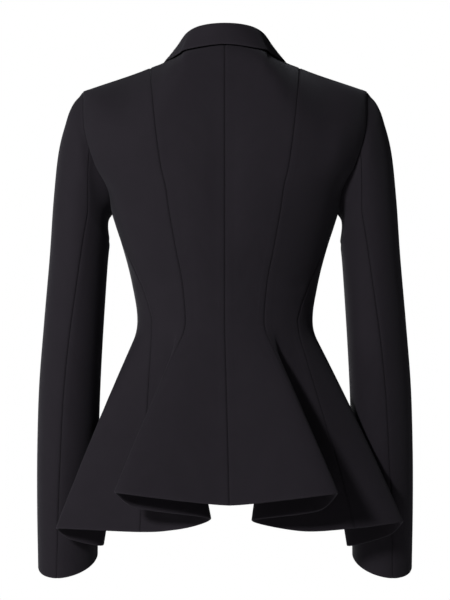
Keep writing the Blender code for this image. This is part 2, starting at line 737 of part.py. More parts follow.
def make_button(name, seat, way, material):
    """Turned button: boss at the back, rounded edge, raised rim round a dished face."""
    profile = (
        (0.0, 0.0),
        (BUTTON_RADIUS * 0.35, 0.0),
        (BUTTON_RADIUS * 0.45, BUTTON_BOSS),
        (BUTTON_RADIUS * 0.85, BUTTON_BOSS * 1.2),
        (BUTTON_RADIUS, BUTTON_THICK * 0.6),
        (BUTTON_RADIUS * 0.94, BUTTON_THICK),
        (BUTTON_RADIUS - BUTTON_RIM, BUTTON_THICK * 0.95),
        (BUTTON_RADIUS - BUTTON_RIM * 1.4, BUTTON_THICK - BUTTON_DISH),
        (0.0, BUTTON_THICK - BUTTON_DISH),
    )
    work = bmesh.new()
    line = [work.verts.new((r, 0, h)) for r, h in profile]
    edges = [work.edges.new(pair) for pair in zip(line, line[1:])]
    bmesh.ops.spin(
        work, geom=line + edges, axis=(0, 0, 1), cent=(0, 0, 0), angle=math.tau, steps=BUTTON_SIDES
    )
    bmesh.ops.remove_doubles(work, verts=work.verts, dist=1e-6)
    bmesh.ops.recalc_face_normals(work, faces=work.faces)
    mesh = bpy.data.meshes.new(name)
    work.to_mesh(mesh)
    work.free()
    item = add_object(name, mesh, material)
    item.rotation_mode = "QUATERNION"
    item.rotation_quaternion = way.to_track_quat("Z", "Y")
    item.location = seat


def main():
    clear_scene()
    cloth = finish_material("black_wool", CLOTH_COLOUR, 0.9)
    horn = finish_material("black_horn", BUTTON_COLOUR, 0.35)
    for side, label in ((1, "right"), (-1, "left")):
        make_body(side, label, cloth)
        make_sleeves(side, label, cloth)
        make_lapel(side, label, cloth)
    make_collar(cloth)
    make_buttons(horn)


main()
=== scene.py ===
"""Dresses the peplum jacket: cloth with seams, hems and soft creases, horn buttons and worked buttonholes.

Metres, +Z up, +Y to the wearer's front, +X to the wearer's right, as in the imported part. Each cloth shell is
worked out from the same sections, seams and folds as the solid that it stands for, in finer steps.
"""

import math
from collections import namedtuple

import bpy
import numpy as np
from mathutils import Matrix, Vector


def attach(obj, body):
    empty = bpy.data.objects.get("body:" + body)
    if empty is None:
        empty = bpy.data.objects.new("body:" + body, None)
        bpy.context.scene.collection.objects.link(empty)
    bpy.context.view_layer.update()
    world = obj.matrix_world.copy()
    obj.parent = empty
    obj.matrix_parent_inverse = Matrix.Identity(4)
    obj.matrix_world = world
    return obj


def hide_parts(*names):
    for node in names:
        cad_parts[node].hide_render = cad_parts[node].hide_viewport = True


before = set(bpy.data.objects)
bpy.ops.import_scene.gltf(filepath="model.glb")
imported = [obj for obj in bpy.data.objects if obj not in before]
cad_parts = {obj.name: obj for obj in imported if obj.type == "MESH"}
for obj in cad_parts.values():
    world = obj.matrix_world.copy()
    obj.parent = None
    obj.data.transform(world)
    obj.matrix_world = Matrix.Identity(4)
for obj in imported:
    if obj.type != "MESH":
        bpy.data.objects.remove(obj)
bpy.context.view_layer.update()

bl_info = {
    "name": "Peplum jacket",
    "version": (1, 0, 0),
    "blender": (4, 5, 0),
    "location": "View3D > Sidebar > Jacket",
    "description": "Cloth shells, buttons and buttonholes of a fitted peplum jacket, with a studio stage",
    "category": "Mesh",
}

SIDES = ((1, "right"), (-1, "left"))
STEP = 0.004  # share of a section or turn used to find a surface's direction
TINY = 1e-12  # keeps a vector of no length from dividing by nothing
WIDEST = 0.99999  # share of a section's half width that counts as its side

# Shoulders and neck
SHOULDER_HALF = 0.196  # centre to shoulder tip
SHOULDER_TIP_Y = 0.004
SHOULDER_TIP_Z = -0.0445
NECK_HALF = 0.057  # centre to the shoulder seam's neck end
NECK_Y = -0.003
NECK_Z = 0.010
NECK_CURVE = 0.11  # how far the shoulder seam curves up beside the neck
NECK_CURVE_POWER = 8  # how close to the neck that curve stays
NAPE_Y = -0.072  # neck seam at centre back
NAPE_Z = 0.014
TIP_TURN = 6.0  # degrees round the body, beside the shoulder tip, over which the cloth keeps one slope
SHOULDER_END = 0.03  # share of the upper body over which that ends
FRONT_ROUNDING = 5.0  # how quickly the front falls away from the shoulder seam
BACK_ROUNDING = (
    # outward x, how quickly the back falls away there
    (0.0, 28.0),
    (0.050, 28.0),
    (0.065, 20.0),
    (0.085, 10.5),
    (0.105, 7.0),
    (0.135, 5.0),
    (0.196, 5.0),
)
TIP_ROUND_FROM = 0.125  # outward x where the shoulder starts to round over, towards its tip
TIP_ROUNDING = 3.0  # how quickly front and back fall away at the tip
TIP_POWER = 0.5  # how round the shoulder is there: 1 is a ridge, 0.5 a round top

# Levels
UNDERARM_Z = -0.211
WAIST_Z = -0.359
WAIST_EASE = 0.10  # share of the peplum's drop over which it bends out of the waist
BELL = 0.02  # how far the peplum rounds out between waist and hem, as a share of its flare
UPPER_DROP = 0.205  # usual length of cloth from top edge to underarm
PEPLUM_DROP = 0.27  # usual length of cloth from waist to hem

# Armhole: how far it cuts into the back and the front, in degrees round the body
ARMHOLE_INTO_BACK = 27.0
ARMHOLE_INTO_FRONT = 32.0
ARMHOLE_CROWN = 0.5  # how round the armhole is at the shoulder tip

# Front edge
EDGE_LAP = 0.018  # each front passes the centre by this much
BREAK_Z = -0.235  # lower end of the lapel's roll line
BREAK_HALF = 0.006
TOP_BUTTON_Z = -0.272
LAP_SHIFT = 0.0016  # right front moves out and left front in by this much
LAP_FULL = 0.010  # distance from the centre where that shift is whole
LAP_START = 0.062  # distance from the centre where that shift begins
LAP_RISE = 6.0  # that shift is whole at one part in this many of the upper body

# Horizontal sections of the body: level, half width, depth to back, depth to front, squareness
SECTIONS = (
    (0.030, 0.196, 0.074, 0.040, 3.0),
    (-0.050, 0.196, 0.101, 0.078, 3.0),
    (-0.100, 0.198, 0.115, 0.103, 2.9),
    (-0.145, 0.1865, 0.119, 0.118, 2.7),
    (-0.180, 0.164, 0.118, 0.124, 2.6),
    (-0.211, 0.155, 0.114, 0.125, 2.4),
    (-0.269, 0.137, 0.101, 0.117, 2.3),
    (-0.310, 0.1270, 0.091, 0.106, 2.2),
    (-0.359, 0.120, 0.086, 0.098, 2.2),
    (-0.408, 0.1275, 0.091, 0.106, 2.2),
)

# Seams of the body above the waist: level, then degrees round the body from centre back
BACK_SEAM = (
    (0.020, 29.2),
    (-0.025, 27.8),
    (-0.057, 26.8),
    (-0.088, 25.9),
    (-0.133, 25.8),
    (-0.176, 27.0),
    (-0.211, 27.4),
    (-0.265, 27.0),
    (-0.304, 25.9),
    (-0.359, 25.5),
)
SIDE_SEAM = ((-0.211, 90.0), (-0.245, 78.0), (-0.280, 67.5), (-0.319, 59.0), (-0.359, 52.5))
FRONT_SEAM = ((0.02, 151.0), (-0.1, 150.0), (-0.211, 148.0), (-0.359, 146.0))

# Folds of the peplum, from centre back to the front edge. Hem points are metres from the centre: outward
# and up on the right side, outward and up on the left side, and forward. Heading is the cloth's way in plan,
# 0 outward and 90 forward. Pull is how far it holds that way.
Fold = namedtuple("Fold", "name waist right_x right_z left_x left_z y heading pull")
FOLDS = [
    Fold(*row)
    for row in (
        # name, waist degrees, right x, right z, left x, left z, y, heading, pull
        ("centre_back", 0.0, 0.006, -0.5990, -0.006, -0.5990, -0.160, 0, 0.080),
        ("back_seam", 25.5, 0.148, -0.5845, 0.145, -0.5830, -0.148, 90, 0.050),
        ("back_turn", 30.0, 0.127, -0.6090, 0.1235, -0.6045, -0.121, 168, 0.042),
        ("back_valley", 35.5, 0.037, -0.6250, 0.02, -0.6225, -0.104, 90, 0.060),
        ("side_back_middle", 44.0, 0.104, -0.6410, 0.066, -0.6390, -0.083, 14, 0.070),
        ("side_seam", 53.0, 0.175, -0.6380, 0.114, -0.6430, -0.074, 12, 0.075),
        ("side_crest", 80.0, 0.2425, -0.6330, 0.23, -0.6420, -0.040, 90, 0.045),
        ("side_turn", 87.0, 0.226, -0.6530, 0.212, -0.6590, -0.018, 165, 0.035),
        ("side_valley", 97.0, 0.17, -0.6700, 0.169, -0.6690, 0.000, 90, 0.045),
        ("side_front_middle", 121.0, 0.171, -0.6500, 0.17, -0.6500, 0.062, 95, 0.055),
        ("front_seam", 146.0, 0.118, -0.6400, 0.118, -0.6400, 0.122, 140, 0.070),
        ("front_edge", None, 0.062, -0.6060, 0.062, -0.6060, 0.152, 165, 0.050),
    )
]
FOLD_NAMES = [fold.name for fold in FOLDS]

# Body panels: name, first fold, last fold, whether the last edge is sewn, what the panel hangs from
Panel = namedtuple("Panel", "name first last last_sewn hangs_from")
PANELS = (
    Panel("back", "centre_back", "back_seam", True, "collar_cloth"),
    Panel("side_back", "back_seam", "side_seam", True, "back_cloth"),
    Panel("side_front", "side_seam", "front_seam", True, "side_back_cloth"),
    Panel("front", "front_seam", "front_edge", False, "side_front_cloth"),
)

# Sleeve stations from armhole to cuff: outer x and z, inner x and z, half depth, middle y,
# drop of the back against the front, turn of the seams round the arm in degrees
STATIONS = (
    (0.1960, -0.0445, 0.1550, -0.211, 0.0600, 0.004, 0.000, 0.0),
    (0.2130, -0.073, 0.1580, -0.224, 0.0625, 0.002, 0.000, 12.0),
    (0.2275, -0.122, 0.1590, -0.247, 0.0610, 0.000, 0.002, 16.0),
    (0.2350, -0.190, 0.1620, -0.275, 0.0590, -0.002, 0.003, 12.0),
    (0.2405, -0.270, 0.1655, -0.325, 0.0560, -0.003, 0.004, 5.0),
    (0.2485, -0.360, 0.1700, -0.395, 0.0540, 0.000, 0.004, -2.0),
    (0.2565, -0.450, 0.1740, -0.465, 0.0520, 0.012, 0.006, -6.0),
    (0.2605, -0.540, 0.1770, -0.545, 0.0500, 0.028, 0.009, -9.0),
    (0.2620, -0.620, 0.1785, -0.615, 0.0480, 0.044, 0.012, -13.0),
    (0.2620, -0.705, 0.1800, -0.690, 0.0460, 0.060, 0.018, -17.0),
)
STATION_LENGTH = 0.080  # usual length of cloth between two stations
ARMHOLE_FADE = 3.0  # stations over which the armhole's own outline gives way to the sleeve's
SLEEVE_SWELL = 0.004  # fullness of the sleeve just past the armhole, under the arm
SWELL_STATIONS = 2.2  # stations over which that fullness lasts
SEAM_REACH = 0.4  # stations over which the sleeve leaves its seam's own place
ARMHOLE_PRESS = 4.0  # the sleeve is pressed into the body's edge by this many seam overlaps
ARMHOLE_STEP = 2.0  # degrees round the armhole used to find its direction
SLEEVE_ROWS = 128
HIND_SEAM = 90.0  # degrees round the armhole from the shoulder tip, by the back
FORE_SEAM = 270.0

# Collar stations from centre back to the gorge
COLLAR = (
    # share of the neck edge, stand, fold, edge x, edge level (minus on the back), lift off the panel below
    (0.00, 0.0270, 0.0085, 0.0000, -0.016, 0.0048),
    (0.30, 0.0260, 0.0085, 0.0455, -0.036, 0.0048),
    (0.50, 0.0230, 0.0078, 0.0630, -0.027, 0.0042),
    (0.70, 0.0190, 0.0062, 0.0785, 0.000, 0.0034),
    (0.85, 0.0130, 0.0060, 0.0910, 0.063, 0.0040),
    (1.00, 0.0060, 0.0060, 0.0990, 0.215, 0.0045),
)
NECK_SHARE = 0.70  # share of the neck edge at the shoulder seam
STAND_LEAN = 0.20  # how far the stand leans in over the shoulder
COLLAR_TURN = 0.16  # share of the neck edge over which the edge turns across the shoulder seam
STAND_PULL = 1.4  # how straight the stand rises, against its height
FOLD_ROUND = 3.2  # roundness of the stand below the fold
FOLD_SPREAD = 2.2  # width of the fold against the radius of its top
FALL_ROUND = 1.8  # roundness of the fall below the fold
FALL_PULL = 0.9  # how straight the fall comes to its edge
GORGE_Z = -0.030  # where collar and lapel meet on the front edge
NOTCH_FROM = 0.72  # share of the collar's width where the notch opens
COLLAR_NOTCH = 0.075  # how far the collar's end is cut back there, as a share of the neck edge
COLLAR_COLUMNS = 121

# Lapel: widest point below the gorge and its belly
LAPEL_TIP_X = 0.124
LAPEL_TIP_Z = -0.067
LAPEL_DROP = 0.0040  # below the gorge, clear of the collar's end
LAPEL_STAND = 0.0030
LAPEL_FOLD = 0.0060
LAPEL_LIFT = 0.0042
LAPEL_BELLY = 0.006
LAPEL_START = 0.05  # share of its width where the lapel leaves the front's edge
LAPEL_END = 0.95  # share of the roll line that the lapel covers
LAPEL_ROWS = 64
STRIP_COLUMNS = (0.0, 0.16, 0.3, 0.4, 0.45, 0.5, 0.55, 0.62, 0.72, 0.86, 1.0)
STRIP_STEPS = 41
SEAM_GAP = 0.0003  # clear gap between the collar or lapel and what it is sewn to

# Distances from a panel's edge at which its first rows or columns of faces stand
EDGE_STEPS = np.array((0.0, 0.0004, 0.0009, 0.0016, 0.0026, 0.0042, 0.0070))
FACE_SIZE = 0.0048  # usual size of a face away from the edges
RIM_TURNS = (45.0, 90.0, 135.0)  # degrees of the rows that round a cut edge
DENSE = 241  # places along a row from which the columns are spread out
LEVEL_TRIES = 12  # rounds in which a panel's first row finds its level
UPPER_ROWS = 46  # rows of a body panel from its top edge to the underarm
LOWER_ROWS = 34  # and on to the waist
PEPLUM_ROWS = 54  # and on to the hem
WAIST_BEND = np.array((0.012, 0.026, 0.042, 0.060, 0.080))  # shares of the peplum's drop at its first rows
CREASE_FADE = 2.6  # how soon a crease is whole, counted from its ends
ALLOWANCE_STEP = 0.004  # distance over which the lift by a seam allowance ends
TURN_UP_STEP = 0.002  # distance over which the turned hem's thickness ends
MARK_REACH = 0.0012  # distance over which the painted highlight of free edges and the painted shade of seams fade

# Soft creases of the body: side or 0 for both, front or back, start and end outward x and z,
# half width, height out of the cloth or depth into it
BODY_CREASES = (
    # side, front, start x, start z, end x, end z, half width, height
    (0, False, 0.000, -0.060, 0.000, -0.290, 0.022, -0.0030),
    (1, False, 0.162, -0.085, 0.138, -0.168, 0.013, 0.0022),
    (-1, False, 0.160, -0.105, 0.146, -0.150, 0.012, 0.0009),
    (1, False, 0.128, -0.300, 0.082, -0.318, 0.009, -0.0009),
    (1, False, 0.124, -0.338, 0.090, -0.333, 0.008, -0.0007),
    (-1, False, 0.126, -0.306, 0.086, -0.326, 0.009, -0.0010),
    (-1, False, 0.122, -0.345, 0.098, -0.340, 0.007, -0.0006),
    (1, True, 0.020, -0.316, 0.085, -0.296, 0.008, -0.0011),
    (1, True, 0.022, -0.318, 0.096, -0.334, 0.007, -0.0008),
    (-1, True, 0.022, -0.318, 0.090, -0.300, 0.008, -0.0009),
    (-1, True, 0.024, -0.316, 0.080, -0.338, 0.007, -0.0007),
    (1, True, 0.168, -0.090, 0.146, -0.165, 0.012, 0.0016),
    (-1, True, 0.168, -0.082, 0.144, -0.170, 0.013, 0.0019),
)

# Soft creases of the sleeves: side or 0 for both, start and end turn round the arm in degrees and station,
# half width in metres, height out of the cloth or depth into it
SLEEVE_CREASES = (
    # side, start turn, start station, end turn, end station, half width, height
    (0, 0, 0.10, 0, 1.50, 0.014, 0.0012),
    (1, 236, 4.45, 300, 4.20, 0.009, -0.0018),
    (1, 228, 4.85, 312, 4.95, 0.008, -0.0014),
    (-1, 232, 4.40, 304, 4.15, 0.009, -0.0016),
    (-1, 224, 4.78, 308, 4.90, 0.008, -0.0015),
    (1, 150, 2.10, 196, 2.60, 0.009, -0.0010),
    (-1, 152, 2.00, 200, 2.45, 0.009, -0.0011),
    (1, 60, 4.60, 118, 4.35, 0.012, -0.0007),
    (-1, 62, 4.50, 120, 4.30, 0.012, -0.0007),
)
ARM_RADIUS = 0.047  # turns a crease's degrees into metres

# Finish of the wool, with a painted highlight on free edges and painted shade at seams: how far each pattern
# takes the cloth from its black to its nap's tone
BASE_TONE = -0.12
CLOUD_TONE = 0.55
FUZZ_TONE = 0.50
RIB_TONE = 0.22
# free edges painted paler: partly worn nap, partly a painted highlight along hems and edges
EDGE_WEAR_AND_HIGHLIGHT_TONE = 0.45
# seams painted darker: painted shade in the seam grooves
SEAM_SHADE_TONE = -0.40
WOOL_ROUGHNESS = 0.82
FUZZ_ROUGHNESS = 0.14  # what raised fibres add to it
FUZZ_HEIGHT = 0.8  # height of the fuzz against the twill's
THREAD_RATE = 2.0  # crossing threads to a rib of the twill
THREAD_HEIGHT = 0.35  # their height against the ribs'
TWILL_HEIGHT = 0.37  # brings ribs and threads together to between 0 and 1
WOOL_SOCKETS = {
    "Specular IOR Level": 0.25,
    "Sheen Weight": 0.10,
    "Sheen Roughness": 0.45,
    "Sheen Tint": (0.80, 0.82, 0.92, 1.0),
}

# Finish of horn and thread
HORN_ROUGHNESS = 0.22
SCUFF_ROUGHNESS = 0.22  # what scuffs add to it
STREAK_STRETCH = (1.0, 1.0, 0.22)
STREAK_TILT = (0.0, 0.5, 0.0)
STREAK_RANGE = (0.48, 0.78)  # where the streaks' noise turns from dark to pale
PLY_RATE = 620.0
PLY_WAVER = 1.5
THREAD_TONES = ((0.009, 0.008, 0.010, 1.0), (0.034, 0.031, 0.037, 1.0))
THREAD_SOCKETS = {"Roughness": 0.55, "Sheen Weight": 0.15}

# Noises: scale, detail, roughness
FUZZ_NOISE = (650.0, 4.0, 0.65)
CLOUD_NOISE = (26.0, 5.0, 0.6)
STREAK_NOISE = (420.0, 5.0, 0.6)
SCUFF_NOISE = (900.0, 4.0, 0.6)

# Relief: strength, depth in metres
WOOL_RELIEF = (0.35, 0.00025)
HORN_RELIEF = (0.12, 0.0001)
THREAD_RELIEF = (0.5, 0.0001)

# Buttons
BUTTON_COUNT = 3
BUTTON_SPACING = 0.0435
BUTTON_STAND = 0.0015  # from the front's middle surface to the button's back
BUTTON_SIDES = 64
BOSS_SHARE = 0.38  # share of the thickness that the boss at the back takes
BOSS_INSET = 0.55  # share of the radius by which the boss lies inside the edge
BOSS_TAPER = 0.8
RIM_SLOPE = 0.35  # width of the slope inside the rim, against the rim's
FACE_INSET = 0.25  # share of the radius by which the middle of the face lies inside that slope
FACE_DIP = 0.35  # how much deeper the middle lies, against the dish
FACING = 0.9  # least upright part of the normal of a face that looks up or down
EDGE_ROUND = 0.3  # width of a rounded edge against the rim or the shank
HOLE_COUNT = 4
HOLE_SIDES = 20

# Thread of the buttons, in hole radii where no other measure is named
STRAND_SIDES = 8
STRAND_CUTS = 6
STRAND_RADIUS = 0.3
STRAND_SPREAD = 0.45
STRAND_RISE = 0.75  # height of a strand's middle over the face
STRAND_DIVE = 1.9  # how far its ends go down into the holes
SHANK_SIDES = 24
SHANK_RADIUS = 1.2  # against the spread of the holes
SHANK_SINK = 0.25  # depth of the shank's middle below the button, against the button's stand

# Buttonholes: close stitches across both lips, a fan by the button and a bar at the other end
STITCH_PITCH = 0.00062
STITCH_RADIUS = 0.00034
STITCH_SIDES = 6
# Rings of a stitch: share along its length, share of its radius
STITCH_RINGS = ((-0.5, 0.35), (-0.42, 0.9), (0.0, 1.0), (0.42, 0.9), (0.5, 0.35))
STITCH_SEAT = 0.35  # how far a stitch stands on the cloth, in its radii
BUTTONHOLE_START = -0.0035  # outward x of the end by the button
LIP = 0.0023  # width of each worked lip
LIP_MIDDLE = 0.56  # share of that width at which a stitch is centred
BAR_STITCHES = 5
BAR_SPREAD = 0.45  # distance between the bar's stitches, against that of the lips
BAR_CLEAR = 0.0002  # from the last stitch to the bar
BAR_LENGTH = 0.5  # length of its stitches against a lip
FAN_STITCHES = 7
FAN_CLEAR = 0.0009  # from the first stitch to the fan
FAN_TILT = 0.05  # least lean of the fan's stitches along the cut
FAN_LENGTH = 0.9
NEARBY = 0.001  # distance used to find the way outward on the front

# Stage
LIGHTS_AIM = (0.0, 0.0, -0.33)
LIGHTS = (
    # name, place, width and height
    ("key", (-1.50, -2.60, 0.76), (0.4, 0.4)),
    ("side", (-3.04, -0.82, 0.23), (0.8, 0.8)),
    ("fill", (3.10, -0.55, 0.23), (1.0, 1.0)),
    ("front", (-1.0, 2.9, -0.5), (2.2, 2.0)),
)
SEEN_WHITE = (1.0, 1.0, 1.0, 1.0)
CAST_WHITE = (0.97, 0.98, 1.0, 1.0)
FLOOR_SIDES = 96
FLOOR_ROUGHNESS = 0.9
SENSOR_WIDTH = 36.0

LENGTH = {"subtype": "DISTANCE", "unit": "LENGTH", "precision": 5}
COLOUR = {"subtype": "COLOR", "size": 4, "min": 0.0, "max": 1.0}


class JacketClothSettings(bpy.types.PropertyGroup):
    """Sizes and colours of the cloth and its sewing"""

    wall: bpy.props.FloatProperty(
        name="Wall", description="Thickness of the cloth",
        default=0.0018, min=0.001, max=0.003, **LENGTH
    )
    seam_overlap: bpy.props.FloatProperty(
        name="Seam overlap", description="How far a sewn edge is pressed into its neighbour",
        default=0.00005, min=0.0, max=0.0003, **LENGTH
    )
    seam_dip: bpy.props.FloatProperty(
        name="Seam dip", description="How deep the cloth rolls in at a seam",
        default=0.0005, min=0.0, max=0.002, **LENGTH
    )
    seam_width: bpy.props.FloatProperty(
        name="Seam width", description="How far from a seam the cloth starts to roll in",
        default=0.0022, min=0.001, max=0.01, **LENGTH
    )
    allowance: bpy.props.FloatProperty(
        name="Seam allowance", description="Width of the pressed allowance under a seam",
        default=0.011, min=0.005, max=0.02, **LENGTH
    )
    allowance_rise: bpy.props.FloatProperty(
        name="Allowance rise", description="How far the allowance lifts the cloth above it",
        default=0.00022, min=0.0, max=0.001, **LENGTH
    )
    turn_up: bpy.props.FloatProperty(
        name="Turn-up", description="Depth of the hem turned up inside",
        default=0.034, min=0.01, max=0.06, **LENGTH
    )
    turn_up_wall: bpy.props.FloatProperty(
        name="Turn-up thickness", description="What the turned hem adds inside",
        default=0.0010, min=0.0, max=0.002, **LENGTH
    )
    thread_pitch: bpy.props.FloatProperty(
        name="Thread pitch", description="Distance between the ribs of the twill",
        default=0.0011, min=0.0004, max=0.004, **LENGTH
    )
    colour: bpy.props.FloatVectorProperty(
        name="Cloth colour", description="Black of the wool",
        default=(0.0170, 0.0139, 0.0192, 1.0), **COLOUR
    )
    # also the tone of the painted highlight along free edges
    nap_and_highlight_colour: bpy.props.FloatVectorProperty(
        name="Nap colour", description="Lighter tone of the raised fibres",
        default=(0.0278, 0.0233, 0.0311, 1.0), **COLOUR
    )


class JacketButtonSettings(bpy.types.PropertyGroup):
    """Sizes and colours of the buttons and buttonholes"""

    radius: bpy.props.FloatProperty(
        name="Radius", description="Radius of a button",
        default=0.010, min=0.005, max=0.015, **LENGTH
    )
    thick: bpy.props.FloatProperty(
        name="Thickness", description="Thickness of a button",
        default=0.0036, min=0.002, max=0.006, **LENGTH
    )
    rim: bpy.props.FloatProperty(
        name="Rim", description="Width of the raised rim",
        default=0.0022, min=0.001, max=0.004, **LENGTH
    )
    dish: bpy.props.FloatProperty(
        name="Dish", description="Depth of the face inside the rim",
        default=0.0008, min=0.0002, max=0.0015, **LENGTH
    )
    hole: bpy.props.FloatProperty(
        name="Hole radius", description="Radius of a sewing hole",
        default=0.0009, min=0.0005, max=0.0015, **LENGTH
    )
    hole_spread: bpy.props.FloatProperty(
        name="Hole spread", description="From the button's centre to a hole, each way",
        default=0.0017, min=0.001, max=0.004, **LENGTH
    )
    buttonhole: bpy.props.FloatProperty(
        name="Buttonhole", description="Length of a worked buttonhole",
        default=0.024, min=0.015, max=0.035, **LENGTH
    )
    colour: bpy.props.FloatVectorProperty(
        name="Horn colour", description="Dark tone of the horn",
        default=(0.010, 0.0095, 0.0105, 1.0), **COLOUR
    )
    streak_colour: bpy.props.FloatVectorProperty(
        name="Streak colour", description="Paler streaks in the horn",
        default=(0.030, 0.025, 0.023, 1.0), **COLOUR
    )


class JacketStageSettings(bpy.types.PropertyGroup):
    """Camera, floor and lights"""

    camera_distance: bpy.props.FloatProperty(
        name="Camera distance", description="From the camera to the neck base's plane",
        default=3.0, min=1.0, max=8.0, **LENGTH
    )
    camera_height: bpy.props.FloatProperty(
        name="Camera height", description="Height of the level camera",
        default=-0.331, min=-1.0, max=1.0, **LENGTH
    )
    frame_height: bpy.props.FloatProperty(
        name="Frame height", description="Height of the picture at the neck base's plane",
        default=0.828, min=0.3, max=3.0, **LENGTH
    )
    floor_height: bpy.props.FloatProperty(
        name="Floor height", description="Height of the floor",
        default=-1.45, min=-3.0, max=-0.75, **LENGTH
    )
    floor_radius: bpy.props.FloatProperty(
        name="Floor radius", description="Radius of the round floor",
        default=4.4, min=1.0, max=10.0, **LENGTH
    )
    key_power: bpy.props.FloatProperty(
        name="Key light", description="Power of the light behind, at the upper left",
        default=51.0, min=0.0, max=1000.0, unit="POWER"
    )
    side_power: bpy.props.FloatProperty(
        name="Side light", description="Power of the light beside, at the left",
        default=13.5, min=0.0, max=1000.0, unit="POWER"
    )
    fill_power: bpy.props.FloatProperty(
        name="Fill light", description="Power of the soft light at the right",
        default=4.0, min=0.0, max=1000.0, unit="POWER"
    )
    front_power: bpy.props.FloatProperty(
        name="Front light", description="Power of the soft light on the jacket's front",
        default=26.0, min=0.0, max=1000.0, unit="POWER"
    )
    ambient: bpy.props.FloatProperty(
        name="Ambient", description="Strength of the light from all around",
        default=0.012, min=0.0, max=3.0, subtype="FACTOR"
    )
    floor_colour: bpy.props.FloatVectorProperty(
        name="Floor colour", description="Pale tone of the floor",
        default=(0.86, 0.86, 0.86, 1.0), **COLOUR
    )


# Shapes


def mix(a, b, share):
    return a + (b - a) * share


def eased(share):
    share = np.clip(share, 0.0, 1.0)
    return share * share * (3 - 2 * share)


def unit(vectors):
    return vectors / np.maximum(np.linalg.norm(vectors, axis=-1, keepdims=True), TINY)


def hermite(start, leave, end, arrive, share):
    """Cubic from start to end with the given tangents."""
    square, cube = share * share, share**3
    return (
        start * (2 * cube - 3 * square + 1)
        + leave * (cube - 2 * square + share)
        + end * (3 * square - 2 * cube)
        + arrive * (cube - square)
    )


def through(rows, at):
    """Smooth values at keys, from rows of (key, value, value...), held at the end rows."""
    table = np.array(sorted(rows), float)
    keys, values = table[:, 0], table[:, 1:]
    at = np.clip(np.asarray(at, float), keys[0], keys[-1])
    i = np.clip(np.searchsorted(keys, at, side="right") - 1, 0, len(keys) - 2)
    order = np.arange(len(keys))
    low, high = np.maximum(order - 1, 0), np.minimum(order + 1, len(keys) - 1)
    slopes = (values[high] - values[low]) / (keys[high] - keys[low])[:, None]
    span = (keys[i + 1] - keys[i])[..., None]
    share = (at - keys[i])[..., None] / span
    found = hermite(values[i], slopes[i] * span, values[i + 1], slopes[i + 1] * span, share)
    return [found[..., column] for column in range(found.shape[-1])]


def section_point(angle, z):
    """Point of the body's horizontal section: outward x and forward y at degrees from centre back."""
    angle, z = np.broadcast_arrays(np.asarray(angle, float), np.asarray(z, float))
    half, back, front, square = through(SECTIONS, z)
    s, c = np.sin(np.radians(angle)), np.cos(np.radians(angle))
    reach = (np.abs(c) ** square + np.abs(s) ** square) ** (-1 / square)
    return half * s * reach, -np.where(c > 0, back, front) * c * reach


def section_angle(x, z, front):
    """Degrees from centre back at which the section reaches x."""
    half, _, _, square = through(SECTIONS, z)
    q = np.minimum(x / half, WIDEST)
    turn = np.degrees(np.arctan(q / (1 - np.abs(q) ** square) ** (1 / square)))
    return np.where(front, 180 - turn, turn)


def top_edge(angle):
    """Forward y and height of the neck edge or shoulder seam above a point of the section."""
    x = np.abs(section_point(angle, 0.0)[0])
    share = (x - NECK_HALF) / (SHOULDER_HALF - NECK_HALF)
    inset = np.where(angle > 90, 0.0, np.sqrt(np.clip(1 - (x / NECK_HALF) ** 2, 0, 1)))
    drop = share + NECK_CURVE * (1 - share - (1 - share) ** NECK_CURVE_POWER)
    on_shoulder = x >= NECK_HALF
    y = np.where(on_shoulder, mix(NECK_Y, SHOULDER_TIP_Y, share), mix(NECK_Y, NAPE_Y, inset))
    z = np.where(on_shoulder, mix(NECK_Z, SHOULDER_TIP_Z, drop), mix(NECK_Z, NAPE_Z, inset))
    return y, z


def top_pull(angle, level):
    """Share of the top edge's pull on the body that is left at a level above the underarm."""
    x = np.abs(section_point(angle, 0.0)[0])
    rounding = np.where(angle > 90, FRONT_ROUNDING, through(BACK_ROUNDING, x)[0])
    tip = eased((x - TIP_ROUND_FROM) / (SHOULDER_HALF - TIP_ROUND_FROM))
    part = np.clip(level, 0, 1) ** mix(1.0, TIP_POWER, tip)
    return (1 - part) ** mix(rounding, TIP_ROUNDING, tip)


def lap(side, x):
    """How far the fronts move apart where they pass the centre."""
    return side * LAP_SHIFT * eased((LAP_START - x) / (LAP_START - LAP_FULL))


def torso_point(side, angle, level):
    """Body above the waist. Level 0 is the top edge, 1 the underarm, 2 the waist."""
    angle, level = np.broadcast_arrays(np.asarray(angle, float), np.asarray(level, float))
    top_y, top_z = top_edge(angle)
    z = np.where(level <= 1, mix(top_z, UNDERARM_Z, level), mix(UNDERARM_Z, WAIST_Z, level - 1))
    x, y = section_point(angle, z)
    lift = top_y - section_point(angle, top_z)[1]
    y = y + lift * top_pull(angle, level)
    y = y + np.where(angle > 90, lap(side, x) * eased(level * LAP_RISE), 0.0)
    return np.stack((side * x, y, z), -1)


def outward(side, along, down):
    """Unit normal out of the garment from the ways round it and down it."""
    return unit(np.cross(along, down) * -np.asarray(side, float)[..., None])


def surface_normal(side, angle, level):
    turn = STEP * 180
    high = np.where(level < 2 - STEP, level + STEP, level)
    low = np.where(level > STEP, level - STEP, level)
    along = torso_point(side, angle + turn, level) - torso_point(side, angle - turn, level)
    down = torso_point(side, angle, high) - torso_point(side, angle, low)
    return outward(side, along, down)


def torso_normal(side, angle, level):
    """Normal of the body above the waist, shared by back and front along the shoulder seam."""
    angle, level = np.broadcast_arrays(np.asarray(angle, float), np.asarray(level, float))
    near = 1 - eased(level / SHOULDER_END)
    held = np.where(angle <= 90, np.minimum(angle, 90 - TIP_TURN), np.maximum(angle, 90 + TIP_TURN))
    angle = mix(angle, held, near)
    normal = surface_normal(side, angle, level)
    on_shoulder = np.abs(section_point(angle, 0.0)[0]) >= NECK_HALF - STEP
    other = surface_normal(side, 180 - angle, level)
    return unit(normal + other * (near * on_shoulder)[..., None])


